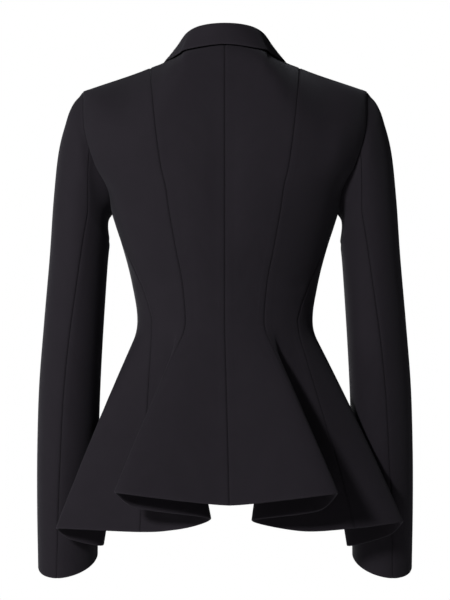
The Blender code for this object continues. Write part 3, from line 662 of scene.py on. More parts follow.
def panel_place(side, x, z, front):
    """Point and normal of the body above the underarm at an outward x and a height."""
    angle = section_angle(x, z, front)
    top_z = top_edge(angle)[1]
    level = np.maximum((top_z - z) / (top_z - UNDERARM_Z), 0.0)
    return torso_point(side, angle, level), torso_normal(side, angle, level)


def front_edge_x(z):
    """Outward x of a front's own edge: the lapel's roll line, then the buttoned edge."""
    roll = mix(BREAK_HALF, NECK_HALF, (z - BREAK_Z) / (NECK_Z - BREAK_Z))
    buttoned = mix(BREAK_HALF, -EDGE_LAP, eased((BREAK_Z - z) / (BREAK_Z - TOP_BUTTON_Z)))
    return np.where(z >= BREAK_Z, roll, buttoned)


def armhole_angle(turn):
    """Degrees round the body of the armhole at a turn round it: 0 shoulder tip, 180 underarm, by the back."""
    s, c = np.sin(np.radians(turn)), np.cos(np.radians(turn))
    reach = np.abs(s) ** (1 - ARMHOLE_CROWN * np.maximum(c, 0.0))
    return 90 - reach * np.where(s > 0, ARMHOLE_INTO_BACK, -ARMHOLE_INTO_FRONT)


def armhole_level(turn):
    return (1 - np.cos(np.radians(turn))) / 2


def level_z(level):
    """Height of a row on the front, whose top is level with the neck."""
    return np.where(level <= 1, mix(NECK_Z, UNDERARM_Z, level), mix(UNDERARM_Z, WAIST_Z, level - 1))


def seam_angle(name, level):
    """Degrees round the body of a panel's edge at rows above the waist."""
    z = level_z(level)
    if name == "centre_back":
        return np.zeros_like(z)
    if name == "front_edge":
        return section_angle(front_edge_x(z), z, True)
    table = {"back_seam": BACK_SEAM, "side_seam": SIDE_SEAM, "front_seam": FRONT_SEAM}[name]
    return through(table, z)[0]


def panel_edges(panel, level):
    """Degrees round the body of a panel's two edges at rows above the waist."""
    low, high = seam_angle(panel.first, level), seam_angle(panel.last, level)
    turn = np.degrees(np.arccos(1 - 2 * np.clip(level, 0, 1)))
    if panel.name == "side_back":
        high = np.where(level < 1, armhole_angle(turn), high)
    if panel.name == "side_front":
        low = np.where(level < 1, armhole_angle(-turn), low)
    return low, high


def waist_angles():
    found = [fold.waist for fold in FOLDS]
    found[-1] = float(seam_angle("front_edge", np.array(2.0)))
    return np.array(found)


def peplum_point(side, girth, drop):
    """Peplum at a place along the folds, counted in fold rows, and a share of the drop from waist to hem."""
    girth, drop = np.broadcast_arrays(np.asarray(girth, float), np.asarray(drop, float))
    i = np.clip(np.floor(girth).astype(int), 0, len(FOLDS) - 2)
    share = girth - i
    hem_points = np.array([(fold.right_x if side > 0 else fold.left_x, fold.y) for fold in FOLDS])
    headings = np.radians([fold.heading for fold in FOLDS])
    pulls = np.array([fold.pull for fold in FOLDS])
    ways = np.stack((np.cos(headings), np.sin(headings)), -1) * pulls[:, None]
    hem = hermite(hem_points[i], ways[i], hem_points[i + 1], ways[i + 1], share[..., None])
    heights = [(k, fold.right_z if side > 0 else fold.left_z) for k, fold in enumerate(FOLDS)]
    hem_z = through([(-1, heights[1][1])] + heights, girth)[0]
    waist = waist_angles()
    angle = mix(waist[i], waist[i + 1], share)
    x, y = section_point(angle, WAIST_Z)
    flare = np.where(drop < WAIST_EASE, drop * drop / (2 * WAIST_EASE), drop - WAIST_EASE / 2)
    flare = flare / (1 - WAIST_EASE / 2)
    flare = flare + BELL * 4 * flare * (1 - flare)
    x, y = mix(x, hem[..., 0], flare), mix(y, hem[..., 1], flare)
    y = y + np.where(angle > 90, lap(side, x), 0.0)
    return np.stack((side * x, y, mix(WAIST_Z, hem_z, drop)), -1)


def peplum_normal(side, girth, drop):
    high, low = np.minimum(drop + STEP, 1.0), np.maximum(drop - STEP, 0.0)
    along = peplum_point(side, girth + STEP, drop) - peplum_point(side, girth - STEP, drop)
    down = peplum_point(side, girth, high) - peplum_point(side, girth, low)
    return outward(side, along, down)


def armhole_point(side, turn):
    return torso_point(side, armhole_angle(turn), armhole_level(turn))


def station_point(side, turn, station):
    """Point of the sleeve's own oval at a station."""
    rows = [(k, *row) for k, row in enumerate(STATIONS)]
    outer_x, outer_z, inner_x, inner_z, half_depth, middle_y, back_drop, twist = through(rows, station)
    c, s = np.cos(np.radians(turn + twist)), np.sin(np.radians(turn + twist))
    x = (outer_x + inner_x) / 2 + (outer_x - inner_x) / 2 * c
    z = (outer_z + inner_z) / 2 + (outer_z - inner_z) / 2 * c - back_drop * s
    return np.stack((side * x, middle_y - half_depth * s, z), -1)


def sleeve_point(side, turn, station):
    turn, station = np.broadcast_arrays(np.asarray(turn, float), np.asarray(station, float))
    fade = np.clip(1 - station / ARMHOLE_FADE, 0, 1) ** 2
    bend = armhole_point(side, turn) - station_point(side, turn, np.zeros_like(station))
    part = np.minimum(station / SWELL_STATIONS, 1.0)
    found = station_point(side, turn, station) + bend * fade[..., None]
    found[..., 0] += side * SLEEVE_SWELL * 4 * part * (1 - part) * armhole_level(turn)
    return found


def sleeve_normal(side, turn, station):
    high = np.minimum(station + STEP, len(STATIONS) - 1)
    low = np.maximum(station - STEP, 0)
    step = STEP * 360
    along = sleeve_point(side, turn - step, station) - sleeve_point(side, turn + step, station)
    down = sleeve_point(side, turn, high) - sleeve_point(side, turn, low)
    return outward(side, along, down)


def sleeve_seam_shift(side, turn, cloth):
    """How far the sleeve's first row stands off the armhole: past the body's edge, or on top of it."""
    edge = armhole_point(side, turn)
    body_normal = torso_normal(side, armhole_angle(turn), armhole_level(turn))
    along = armhole_point(side, turn + ARMHOLE_STEP) - armhole_point(side, turn - ARMHOLE_STEP)
    past = unit(np.cross(body_normal, along))
    middle = (armhole_point(side, np.array(0.0)) + armhole_point(side, np.array(180.0))) / 2
    past = past * np.where(np.sum(past * (middle - edge), -1) < 0, -1.0, 1.0)[..., None]
    zero = np.zeros_like(turn)
    normal = sleeve_normal(side, turn, zero)
    on_top = np.clip(-np.sum(body_normal * normal, -1), 0, 1)[..., None]
    way = past * np.sqrt(1 - on_top) + body_normal * np.sqrt(on_top)
    down = sleeve_point(side, turn, zero + STEP) - sleeve_point(side, turn, zero)
    slant = np.sum(unit(np.cross(normal, down)) * way, -1, keepdims=True)
    body_reach = cloth.wall / 2 - cloth.seam_overlap
    sleeve_reach = cloth.wall / 2 * np.sqrt(1 - slant**2) - ARMHOLE_PRESS * cloth.seam_overlap
    dip = sewn_form(0.0, cloth)
    return way * (body_reach + sleeve_reach) - past * body_reach + (body_normal - normal) * dip


def front_edge_frame(side, z):
    """Point of a front's own edge, the way out past that edge, and the normal."""
    low = panel_place(side, front_edge_x(z - STEP), z - STEP, True)[0]
    high = panel_place(side, front_edge_x(z + STEP), z + STEP, True)[0]
    place, normal = panel_place(side, front_edge_x(z), z, True)
    across = unit(np.cross(normal, high - low))
    return place, across * np.where(across[..., 0] * side < 0, 1.0, -1.0)[..., None], normal


def neck_frame(side, share, wall):
    """Foot of the collar's stand, the way it stands and the way it folds, along half the neck edge."""
    turn = np.radians(90 * np.minimum(share / NECK_SHARE, 1.0))
    angle = section_angle(NECK_HALF * np.sin(turn), np.zeros_like(turn), False)
    back_foot = torso_point(side, angle, np.zeros_like(angle))
    zero, one = np.zeros_like(turn), np.ones_like(turn)
    back_up = unit(np.stack((-side * STAND_LEAN * np.sin(turn), zero, one), -1))
    back_out = np.stack((side * np.sin(turn), -np.cos(turn), zero), -1)
    past = np.clip((share - NECK_SHARE) / (1 - NECK_SHARE), 0, 1)
    front_foot, across, normal = front_edge_frame(side, mix(NECK_Z, GORGE_Z, past))
    bend = eased(past)[..., None]
    front_up = unit(mix(np.stack((-side * STAND_LEAN * one, zero, one), -1), across, bend))
    front_out = unit(mix(np.stack((side * one, zero, zero), -1), normal, bend))
    behind = (share <= NECK_SHARE)[..., None]
    foot = np.where(behind, back_foot, front_foot)
    up, out = np.where(behind, back_up, front_up), np.where(behind, back_out, front_out)
    return foot - out * (wall + SEAM_GAP) + up * SEAM_GAP, up, out


def collar_point(share, width, wall):
    """Collar at a share of the neck edge, minus on the left, and a share of its width from seam to edge."""
    share, width = np.broadcast_arrays(np.asarray(share, float), np.asarray(width, float))
    side = np.where(share < 0, -1.0, 1.0)
    mirrored = [(-at, stand, fold, -x, level, lift) for at, stand, fold, x, level, lift in COLLAR[1:]]
    stand, fold, edge_x, edge_level, lift = through(mirrored + list(COLLAR), np.abs(share))
    foot, up, out = neck_frame(side, np.abs(share), wall)
    zero = np.zeros_like(edge_x)
    angle = section_angle(edge_x, zero, edge_level > 0)
    place = torso_point(side, angle, np.abs(edge_level))
    normal = torso_normal(side, angle, np.abs(edge_level))
    ridge = torso_normal(side, section_angle(edge_x, zero, False), zero)
    away = eased(np.abs(np.abs(share) - NECK_SHARE) / COLLAR_TURN)
    edge = place + unit(mix(ridge, normal, away[..., None])) * lift[..., None]
    top = foot + up * stand[..., None] + out * (fold / 2)[..., None]
    radius = fold / FOLD_SPREAD
    arrive = out * np.sqrt(FOLD_ROUND * stand * radius)[..., None]
    rise = hermite(foot, up * (STAND_PULL * stand)[..., None], top, arrive, (width * 2)[..., None])
    fall = edge - top
    leave = out * np.sqrt(FALL_ROUND * np.linalg.norm(fall, axis=-1) * radius)[..., None]
    drop = hermite(top, leave, edge, fall * FALL_PULL, (width * 2 - 1)[..., None])
    return np.where((width <= 0.5)[..., None], rise, drop)


def lapel_point(side, share, width):
    """Lapel at a share of the roll line from the gorge and a share of its width from the fold."""
    share, width = np.broadcast_arrays(np.asarray(share, float), np.asarray(width, float))
    z = mix(GORGE_Z - LAPEL_DROP, BREAK_Z, share)
    place, across, normal = front_edge_frame(side, z)
    turn = math.tau * width
    rise = LAPEL_FOLD / 2 * (1 - np.cos(turn))
    out = SEAM_GAP + LAPEL_STAND * np.sin(turn)
    roll = place + across * out[..., None] + normal * rise[..., None]
    across_share = np.clip(width * 2 - 1, 0, 1)
    edge_x = mix(LAPEL_TIP_X, BREAK_HALF, share) + LAPEL_BELLY * np.sin(math.pi * share)
    x = mix(front_edge_x(z) - SEAM_GAP, edge_x, across_share)
    edge_z = mix(LAPEL_TIP_Z, BREAK_Z, share)
    place, normal = panel_place(side, x, mix(z, edge_z, across_share), True)
    turned = place + normal * mix(LAPEL_FOLD, LAPEL_LIFT, eased(across_share))[..., None]
    return np.where((width <= 0.5)[..., None], roll, turned)


# Cloth


def lengths_along(points, axis):
    """Distance of each point of a grid from its row's or column's first point."""
    steps = np.linalg.norm(np.diff(points, axis=axis), axis=-1)
    start = np.zeros_like(np.take(steps, [0], axis=axis))
    return np.concatenate((start, np.cumsum(steps, axis=axis)), axis=axis)


def spread_columns(dense, points, first, last):
    """Places along each row: fixed distances from its edges, set in by first and last, evenly between."""
    along = lengths_along(points, 1)
    width = along[:, -1:]
    reach = EDGE_STEPS[-1]
    middle_count = max(3, int(np.max(width) / FACE_SIZE))
    middle = np.linspace(0, 1, middle_count + 2)[1:-1]
    inner, outer = first + reach, width - last - reach
    distances = np.concatenate(
        (
            np.repeat((first + EDGE_STEPS)[None], len(along), 0),
            inner + (outer - inner) * middle[None],
            width - last - EDGE_STEPS[::-1][None],
        ),
        axis=1,
    )
    return np.array([np.interp(d, a, dense) for d, a in zip(distances, along)])


def crease_height(across, along, half_width, height):
    """Soft trough or ridge: round across its line and fading along it, where along runs from 0 to 1."""
    fade = eased(np.minimum(along, 1 - along) * CREASE_FADE)
    return height * np.exp(-((across / half_width) ** 2)) * np.where((along > 0) & (along < 1), fade, 0.0)


def line_place(x, y, start, end):
    """Distance of flat points from a line, and their share along it."""
    way = np.array(end, float) - np.array(start, float)
    length = np.linalg.norm(way)
    along = ((x - start[0]) * way[0] + (y - start[1]) * way[1]) / length**2
    across = ((x - start[0]) * way[1] - (y - start[1]) * way[0]) / length
    return across, along


def body_creases(side, points, front):
    """Height of the soft creases at points of a body panel."""
    total = np.zeros(points.shape[:2])
    for for_side, on_front, x0, z0, x1, z1, half_width, height in BODY_CREASES:
        if for_side in (0, side):
            across, along = line_place(side * points[..., 0], points[..., 2], (x0, z0), (x1, z1))
            total += crease_height(across, along, half_width, height) * (front == on_front)
    return total


def sleeve_creases(side, turns, stations):
    """Height of the soft creases at turns and stations of a sleeve."""
    total = np.zeros(turns.shape)
    for for_side, turn0, station0, turn1, station1, half_width, height in SLEEVE_CREASES:
        if for_side in (0, side):
            middle = (turn0 + turn1) / 2
            near = (turns - middle + 180) % 360 - 180
            x = np.radians(near) * ARM_RADIUS
            start = (math.radians(turn0 - middle) * ARM_RADIUS, station0 * STATION_LENGTH)
            end = (math.radians(turn1 - middle) * ARM_RADIUS, station1 * STATION_LENGTH)
            across, along = line_place(x, stations * STATION_LENGTH, start, end)
            total += crease_height(across, along, half_width, height)
    return total


def sewn_form(distance, cloth):
    """Height of the cloth near a seam: rolled in at the stitching, lifted a little over the allowance."""
    roll = -cloth.seam_dip * np.clip(1 - distance / cloth.seam_width, 0, 1) ** 2
    return roll + cloth.allowance_rise * eased((cloth.allowance - distance) / ALLOWANCE_STEP)


class Shell:
    """A grid of cloth: middle points, normals, heights, thickness on each side and which edges are sewn."""

    def __init__(self, points, normals, cloth, sewn):
        self.points, self.normals, self.cloth = points, normals, cloth
        self.across, self.down = lengths_along(points, 1), lengths_along(points, 0)
        self.to_edge = {
            "first": self.across,
            "last": self.across[:, -1:] - self.across,
            "top": self.down,
            "bottom": self.down[-1:] - self.down,
        }
        self.sewn = sewn
        self.height = np.zeros(points.shape[:2])
        self.inside = np.full(points.shape[:2], cloth.wall / 2)
        for edge in sewn:
            self.height += sewn_form(self.to_edge[edge], cloth)

    def turn_up(self, edge):
        """Thickens the inside along a turned hem, with a step where the turned cloth ends."""
        depth = self.cloth.turn_up
        self.inside += self.cloth.turn_up_wall * eased((depth - self.to_edge[edge]) / TURN_UP_STEP + 0.5)

    def edge_marks(self):
        """How near each point is to a free edge and to a seam, from 0 to 1: masks for the free edges' worn nap
        and painted highlight, and for the painted shade along seams.
        """
        free = np.zeros(self.height.shape)
        seam = np.zeros(self.height.shape)
        for edge, distance in self.to_edge.items():
            near = np.exp(-distance / MARK_REACH)
            if edge in self.sewn:
                seam = np.maximum(seam, near)
            else:
                free = np.maximum(free, near)
        return free, seam

    def rim(self):
        """Grid places round the edge, the way out of the cloth at each, and that way in cloth coordinates."""
        rows, columns = self.height.shape
        places = [(0, c) for c in range(columns)] + [(r, columns - 1) for r in range(1, rows)]
        places += [(rows - 1, c) for c in range(columns - 2, -1, -1)]
        places += [(r, 0) for r in range(rows - 2, 0, -1)]
        r, c = np.array(places).T
        out = np.zeros((len(places), 3))
        flat_out = np.zeros((len(places), 2))
        inner_r, inner_c = np.clip(r, 1, rows - 2), np.clip(c, 1, columns - 2)
        out += unit(self.points[r, c] - self.points[inner_r, c])
        out += unit(self.points[r, c] - self.points[r, inner_c])
        flat_out[:, 0], flat_out[:, 1] = np.sign(c - inner_c), np.sign(r - inner_r)
        normal = self.normals[r, c]
        out -= normal * np.sum(out * normal, -1, keepdims=True)
        return r, c, out, flat_out

    def build(self, name, material):
        """Closed mesh: outer and inner sheet joined by a rounded edge, with cloth coordinates in metres."""
        rows, columns = self.height.shape
        middle = self.points + self.normals * self.height[..., None]
        outer = middle + self.normals * (self.cloth.wall / 2)
        inner = middle - self.normals * self.inside[..., None]
        r, c, out, flat_out = self.rim()
        flat = np.stack((self.across - self.across[:, -1:] / 2, self.down), -1)
        free, seam = self.edge_marks()
        vertices, flats = [outer.reshape(-1, 3), inner.reshape(-1, 3)], [flat.reshape(-1, 2)] * 2
        frees, seams = [free.ravel()] * 2, [seam.ravel()] * 2
        centre, half = (outer[r, c] + inner[r, c]) / 2, (outer[r, c] - inner[r, c]) / 2
        radius = np.linalg.norm(half, axis=-1, keepdims=True)
        for turn in np.radians(RIM_TURNS):
            vertices.append(centre + half * math.cos(turn) + out * radius * math.sin(turn))
            flats.append(flat[r, c] + flat_out * radius * turn)
            frees.append(free[r, c])
            seams.append(seam[r, c])
        faces = self.faces(rows, columns, r, c)
        mesh = bpy.data.meshes.new(name)
        vertices = np.concatenate(vertices)
        first = vertices[faces[0]]
        if np.dot(np.cross(first[1] - first[0], first[3] - first[0]), self.normals[0, 0]) < 0:
            faces = faces[:, ::-1]
        mesh.from_pydata(vertices.tolist(), [], faces.tolist())
        order = np.array([loop.vertex_index for loop in mesh.loops])
        layer = mesh.uv_layers.new(name="cloth_metres")
        layer.data.foreach_set("uv", np.concatenate(flats)[order].astype(np.float32).ravel())
        # masks of the free edges' painted highlight and worn nap, and of the painted seam shade
        for label, values in (("free_edge", frees), ("seam_line", seams)):
            attribute = mesh.attributes.new(label, "FLOAT", "POINT")
            attribute.data.foreach_set("value", np.concatenate(values).astype(np.float32))
        mesh.materials.append(material)
        mesh.shade_smooth()
        piece = bpy.data.objects.new(name, mesh)
        bpy.context.scene.collection.objects.link(piece)
        return piece

    def faces(self, rows, columns, r, c):
        """Corner numbers of the outer sheet, the inner sheet and the rounded edge, in that order."""
        grid = np.arange(rows * columns).reshape(rows, columns)
        sheet = np.stack((grid[:-1, :-1], grid[:-1, 1:], grid[1:, 1:], grid[1:, :-1]), -1).reshape(-1, 4)
        found = [sheet, sheet[:, ::-1] + rows * columns]
        edge = grid[r, c]
        count = len(edge)
        loops = [edge] + [2 * rows * columns + k * count + np.arange(count) for k in range(len(RIM_TURNS))]
        loops.append(edge + rows * columns)
        for upper, lower in zip(loops, loops[1:]):
            found.append(np.stack((np.roll(upper, -1), upper, lower, np.roll(lower, -1)), -1))
        return np.concatenate(found)

    def cut(self):
        """Width, length and area of the piece as it was cut, between its seam lines."""
        a, b = self.points[:-1, :-1], self.points[1:, 1:]
        area = np.linalg.norm(np.cross(b - a, self.points[1:, :-1] - self.points[:-1, 1:]), axis=-1).sum() / 2
        return float(self.across[:, -1].max()), float(self.down[-1].max()), float(area)


def place_cloth(shell, name, node):
    piece = shell.build(name, wool_material())
    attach(piece, "root")
    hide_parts(node)
    width, length, area = shell.cut()
    return piece


def fold_span(panel):
    """Numbers of the folds at a panel's two edges."""
    return FOLD_NAMES.index(panel.first), FOLD_NAMES.index(panel.last)


def body_rows(cloth):
    """Rows of a body panel: 0 to 1 top edge to underarm, to 2 waist, to 3 hem."""
    upper = armhole_level(np.linspace(0, 180, UPPER_ROWS))
    lower = 1 + np.linspace(0, 1, LOWER_ROWS)[1:]
    last = (cloth.wall / 2 + EDGE_STEPS) / PEPLUM_DROP
    fall = np.linspace(WAIST_BEND[-1], 1 - last[-1], PEPLUM_ROWS)[1:-1]
    return np.concatenate((upper, lower, 2 + WAIST_BEND, 2 + fall, 3 - last[::-1]))


def panel_angles(panel, level, shares):
    """Degrees round the body of places between a panel's edges at rows above the waist."""
    low, high = panel_edges(panel, level)
    return mix(low, high, waist_share(panel, shares))


def first_levels(side, panel, shares, distance):
    """Levels at which a panel's first row stands that distance below its top edge, along the cloth."""
    level = np.full(shares.shape, distance / UPPER_DROP)
    for _ in range(LEVEL_TRIES):
        angles = panel_angles(panel, level, shares)
        fall = torso_point(side, angles, level) - torso_point(side, angles, np.zeros_like(level))
        level = level * distance / np.linalg.norm(fall, axis=-1)
    return level


def body_points(side, panel, rows, shares, give, cloth):
    """Points of a body panel, or its normals, at rows and at shares from its first edge to its last."""
    found = np.zeros(shares.shape + (3,))
    on_torso = rows <= 2
    torso, peplum = (torso_point, peplum_point) if give == "points" else (torso_normal, peplum_normal)
    first = first_levels(side, panel, shares[0], cloth.wall / 2 - cloth.seam_overlap)
    level = rows[on_torso][:, None]
    level = np.where(level < 1, mix(first, 1.0, level), level)
    found[on_torso] = torso(side, panel_angles(panel, level, shares[on_torso]), level)
    drop = rows[~on_torso] - 2
    first, last = fold_span(panel)
    girth = mix(first, last, shares[~on_torso])
    found[~on_torso] = peplum(side, girth, np.broadcast_to(drop[:, None], girth.shape))
    return found


def waist_share(panel, shares):
    """Where places along a panel's folds stand between its edges at the waist."""
    waist = waist_angles()
    first, last = fold_span(panel)
    here = np.interp(mix(first, last, shares), np.arange(len(waist)), waist)
    return (here - waist[first]) / (waist[last] - waist[first])


def body_shell(side, panel, cloth):
    rows = body_rows(cloth)
    dense = np.linspace(0, 1, DENSE)
    rough = body_points(side, panel, rows, np.repeat(dense[None], len(rows), 0), "points", cloth)
    sewn_in, free_in = cloth.wall / 2 - cloth.seam_overlap, cloth.wall / 2
    shares = spread_columns(dense, rough, sewn_in, sewn_in if panel.last_sewn else free_in)
    points = body_points(side, panel, rows, shares, "points", cloth)
    normals = body_points(side, panel, rows, shares, "normals", cloth)
    sewn = ("top", "first", "last") if panel.last_sewn else ("top", "first")
    shell = Shell(points, normals, cloth, sewn)
    shell.height += body_creases(side, points, points[..., 1] > 0)
    shell.turn_up("bottom")
    return shell


def sleeve_shell(side, first, last, cloth):
    """Shell of a sleeve piece between two turns round the armhole."""
    edge = (cloth.wall / 2 + EDGE_STEPS) / STATION_LENGTH
    end = len(STATIONS) - 1
    start = (cloth.wall / 2 + EDGE_STEPS[1:]) / STATION_LENGTH
    middle = np.linspace(start[-1], end - edge[-1], SLEEVE_ROWS)[1:-1]
    rows = np.concatenate(((0.0,), start, middle, end - edge[::-1]))
    dense = np.linspace(first, last, DENSE)

    def place(turns):
        stations = np.broadcast_to(rows[:, None], turns.shape)
        near = 1 - eased(stations / SEAM_REACH)
        shift = sleeve_seam_shift(side, turns, cloth)
        return sleeve_point(side, turns, stations) + shift * near[..., None]

    rough = place(np.repeat(dense[None], len(rows), 0))
    sewn_in = cloth.wall / 2 - cloth.seam_overlap
    turns = spread_columns(dense, rough, sewn_in, sewn_in)
    stations = np.broadcast_to(rows[:, None], turns.shape)
    shell = Shell(place(turns), sleeve_normal(side, turns, stations), cloth, ("top", "first", "last"))
    shell.height += sleeve_creases(side, turns, stations)
    shell.turn_up("bottom")
    return shell


def strip_widths(start):
    """Shares of a folded strip's width, closer together at the fold."""
    widths = np.interp(np.linspace(0, 1, STRIP_STEPS), np.linspace(0, 1, len(STRIP_COLUMNS)), STRIP_COLUMNS)
    return start + widths * (1 - start)


def collar_shell(cloth):
    widths = strip_widths(0.0)[:, None]
    columns = np.linspace(-1, 1, COLLAR_COLUMNS)[None]
    past = np.clip((widths - NOTCH_FROM) / (1 - NOTCH_FROM), 0, 1)
    shares = columns * (1 - COLLAR_NOTCH * past)
    widths = np.broadcast_to(widths, shares.shape)
    low, high = np.maximum(widths - STEP, 0.0), np.minimum(widths + STEP, 1.0)
    inner, outer = np.maximum(shares - STEP, -1.0), np.minimum(shares + STEP, 1.0)
    along = collar_point(outer, widths, cloth.wall) - collar_point(inner, widths, cloth.wall)
    down = collar_point(shares, high, cloth.wall) - collar_point(shares, low, cloth.wall)
    normals = outward(1, along, down)
    return Shell(collar_point(shares, widths, cloth.wall), normals, cloth, ("top",))


def lapel_shell(side, cloth):
    shares = np.linspace(0, LAPEL_END, LAPEL_ROWS)[:, None]
    widths = strip_widths(LAPEL_START)[None]
    shares, widths = np.broadcast_arrays(shares, widths)
    low, high = np.maximum(widths - STEP, 0.0), np.minimum(widths + STEP, 1.0)
    along = lapel_point(side, shares, low) - lapel_point(side, shares, high)
    down = lapel_point(side, shares + STEP, widths) - lapel_point(side, np.maximum(shares - STEP, 0), widths)
    return Shell(lapel_point(side, shares, widths), outward(side, along, down), cloth, ("first",))


# Materials


def link(tree, source, output, target, socket):
    tree.links.new(source.outputs[output], target.inputs[socket])


def math_node(tree, operation, *values):
    """Math node whose inputs are numbers or (node, output) pairs."""
    node = tree.nodes.new("ShaderNodeMath")
    node.operation = operation
    for socket, value in zip(node.inputs, values):
        if isinstance(value, tuple):
            tree.links.new(value[0].outputs[value[1]], socket)
        else:
            socket.default_value = value
    return node


def set_values(node, values):
    """Sets a node's own sockets by their names."""
    for socket, value in values.items():
        node.inputs[socket].default_value = value


def noise_node(tree, source, output, noise):
    scale, detail, roughness = noise
    node = tree.nodes.new("ShaderNodeTexNoise")
    set_values(node, {"Scale": scale, "Detail": detail, "Roughness": roughness})
    link(tree, source, output, node, "Vector")
    return node


def bump_node(tree, source, output, relief, shader):
    """Relief of a surface, from the height that a node gives."""
    strength, depth = relief
    node = tree.nodes.new("ShaderNodeBump")
    set_values(node, {"Strength": strength, "Distance": depth})
    link(tree, source, output, node, "Height")
    link(tree, node, "Normal", shader, "Normal")


def tone_ramp(tree, source, output, tones, places, shader):
    """Colours a surface from one tone to another between two places of what a node gives."""
    node = tree.nodes.new("ShaderNodeValToRGB")
    for element, tone, place in zip(node.color_ramp.elements, tones, places):
        element.position = place
        element.color = tone
    link(tree, source, output, node, "Fac")
    link(tree, node, "Color", shader, "Base Color")


def group_node(tree, group):
    node = tree.nodes.new("ShaderNodeGroup")
    node.node_tree = group
    return node


def attribute_node(tree, name):
    node = tree.nodes.new("ShaderNodeAttribute")
    node.attribute_name = name
    return node


def new_material(name):
    """Material with nodes, its tree and its shader."""
    material = bpy.data.materials.new(name)
    material.use_nodes = True
    return material, material.node_tree, material.node_tree.nodes["Principled BSDF"]


def new_group(name, inputs, outputs):
    """Empty shader group with named sockets, and its input and output nodes."""
    group = bpy.data.node_groups.new(name, "ShaderNodeTree")
    for label, kind in inputs:
        group.interface.new_socket(name=label, in_out="INPUT", socket_type=kind)
    for label, kind in outputs:
        group.interface.new_socket(name=label, in_out="OUTPUT", socket_type=kind)
    return group, group.nodes.new("NodeGroupInput"), group.nodes.new("NodeGroupOutput")


def twill_group():
    """Diagonal ribs of a fine twill crossed by its threads, as a height from 0 to 1."""
    found = bpy.data.node_groups.get("fine_twill")
    if found:
        return found
    group, given, result = new_group(
        "fine_twill",
        (("Cloth metres", "NodeSocketVector"), ("Ribs per metre", "NodeSocketFloat")),
        (("Height", "NodeSocketFloat"),),
    )
    parts = group.nodes.new("ShaderNodeSeparateXYZ")
    link(group, given, "Cloth metres", parts, "Vector")
    turns = math_node(group, "MULTIPLY", (given, "Ribs per metre"), math.tau)
    ribs = math_node(group, "ADD", (parts, "X"), (parts, "Y"))
    ribs = math_node(group, "SINE", (math_node(group, "MULTIPLY", (ribs, 0), (turns, 0)), 0))
    threads = math_node(group, "MULTIPLY", (parts, "X"), (turns, 0))
    threads = math_node(group, "SINE", (math_node(group, "MULTIPLY", (threads, 0), THREAD_RATE), 0))
    both = math_node(group, "MULTIPLY_ADD", (threads, 0), THREAD_HEIGHT, (ribs, 0))
    height = math_node(group, "MULTIPLY_ADD", (both, 0), TWILL_HEIGHT, 0.5)
    link(group, height, 0, result, "Height")
    return group


def nap_group():
    """Raised fibres: fine fuzz and slow clouds of tone, each from 0 to 1."""
    found = bpy.data.node_groups.get("wool_nap")
    if found:
        return found
    group, given, result = new_group(
        "wool_nap",
        (("Cloth metres", "NodeSocketVector"),),
        (("Fuzz", "NodeSocketFloat"), ("Clouds", "NodeSocketFloat")),
    )
    for output, noise in (("Fuzz", FUZZ_NOISE), ("Clouds", CLOUD_NOISE)):
        link(group, noise_node(group, given, "Cloth metres", noise), "Fac", result, output)
    return group


def wool_material():
    """Matte black wool twill: ribs, nap, free edges painted paler for worn nap and a painted highlight, seam
    lines painted darker as painted shade in their grooves.
    """
    found = bpy.data.materials.get("black_wool_twill")
    if found:
        return found
    cloth = bpy.context.scene.jacket_cloth
    material, tree, shader = new_material("black_wool_twill")
    metres = tree.nodes.new("ShaderNodeUVMap")
    metres.uv_map = "cloth_metres"
    twill, nap = group_node(tree, twill_group()), group_node(tree, nap_group())
    twill.inputs["Ribs per metre"].default_value = 1 / cloth.thread_pitch
    for pattern in (twill, nap):
        link(tree, metres, "UV", pattern, "Cloth metres")
    patterns = (
        (nap, "Clouds", CLOUD_TONE),
        (nap, "Fuzz", FUZZ_TONE),
        (twill, "Height", RIB_TONE),
        # free edges: worn nap and painted highlight
        (attribute_node(tree, "free_edge"), "Fac", EDGE_WEAR_AND_HIGHLIGHT_TONE),
        # seams: painted shade in their grooves
        (attribute_node(tree, "seam_line"), "Fac", SEAM_SHADE_TONE),
    )
    so_far = BASE_TONE
    for source, output, amount in patterns:
        tone = math_node(tree, "MULTIPLY_ADD", (source, output), amount, so_far)
        so_far = (tone, 0)
    tone.use_clamp = True
    blend = tree.nodes.new("ShaderNodeMix")
    blend.data_type = "RGBA"
    set_values(blend, {"A": cloth.colour, "B": cloth.nap_and_highlight_colour})
    link(tree, tone, 0, blend, "Factor")
    link(tree, blend, "Result", shader, "Base Color")
    rough = math_node(tree, "MULTIPLY_ADD", (nap, "Fuzz"), FUZZ_ROUGHNESS, WOOL_ROUGHNESS)
    link(tree, rough, 0, shader, "Roughness")
    height = math_node(tree, "MULTIPLY_ADD", (nap, "Fuzz"), FUZZ_HEIGHT, (twill, "Height"))
    bump_node(tree, height, 0, WOOL_RELIEF, shader)
    set_values(shader, WOOL_SOCKETS)
    return material


def horn_material():
    """Polished dark horn with fine pale streaks."""
    found = bpy.data.materials.get("black_horn_polished")
    if found:
        return found
    button = bpy.context.scene.jacket_button
    material, tree, shader = new_material("black_horn_polished")
    place = tree.nodes.new("ShaderNodeTexCoord")
    stretch = tree.nodes.new("ShaderNodeMapping")
    set_values(stretch, {"Scale": STREAK_STRETCH, "Rotation": STREAK_TILT})
    link(tree, place, "Object", stretch, "Vector")
    streaks = noise_node(tree, stretch, "Vector", STREAK_NOISE)
    tone_ramp(tree, streaks, "Fac", (button.colour, button.streak_colour), STREAK_RANGE, shader)
    scuffs = noise_node(tree, place, "Object", SCUFF_NOISE)
    rough = math_node(tree, "MULTIPLY_ADD", (scuffs, "Fac"), SCUFF_ROUGHNESS, HORN_ROUGHNESS)
    link(tree, rough, 0, shader, "Roughness")
    bump_node(tree, scuffs, "Fac", HORN_RELIEF, shader)
    return material


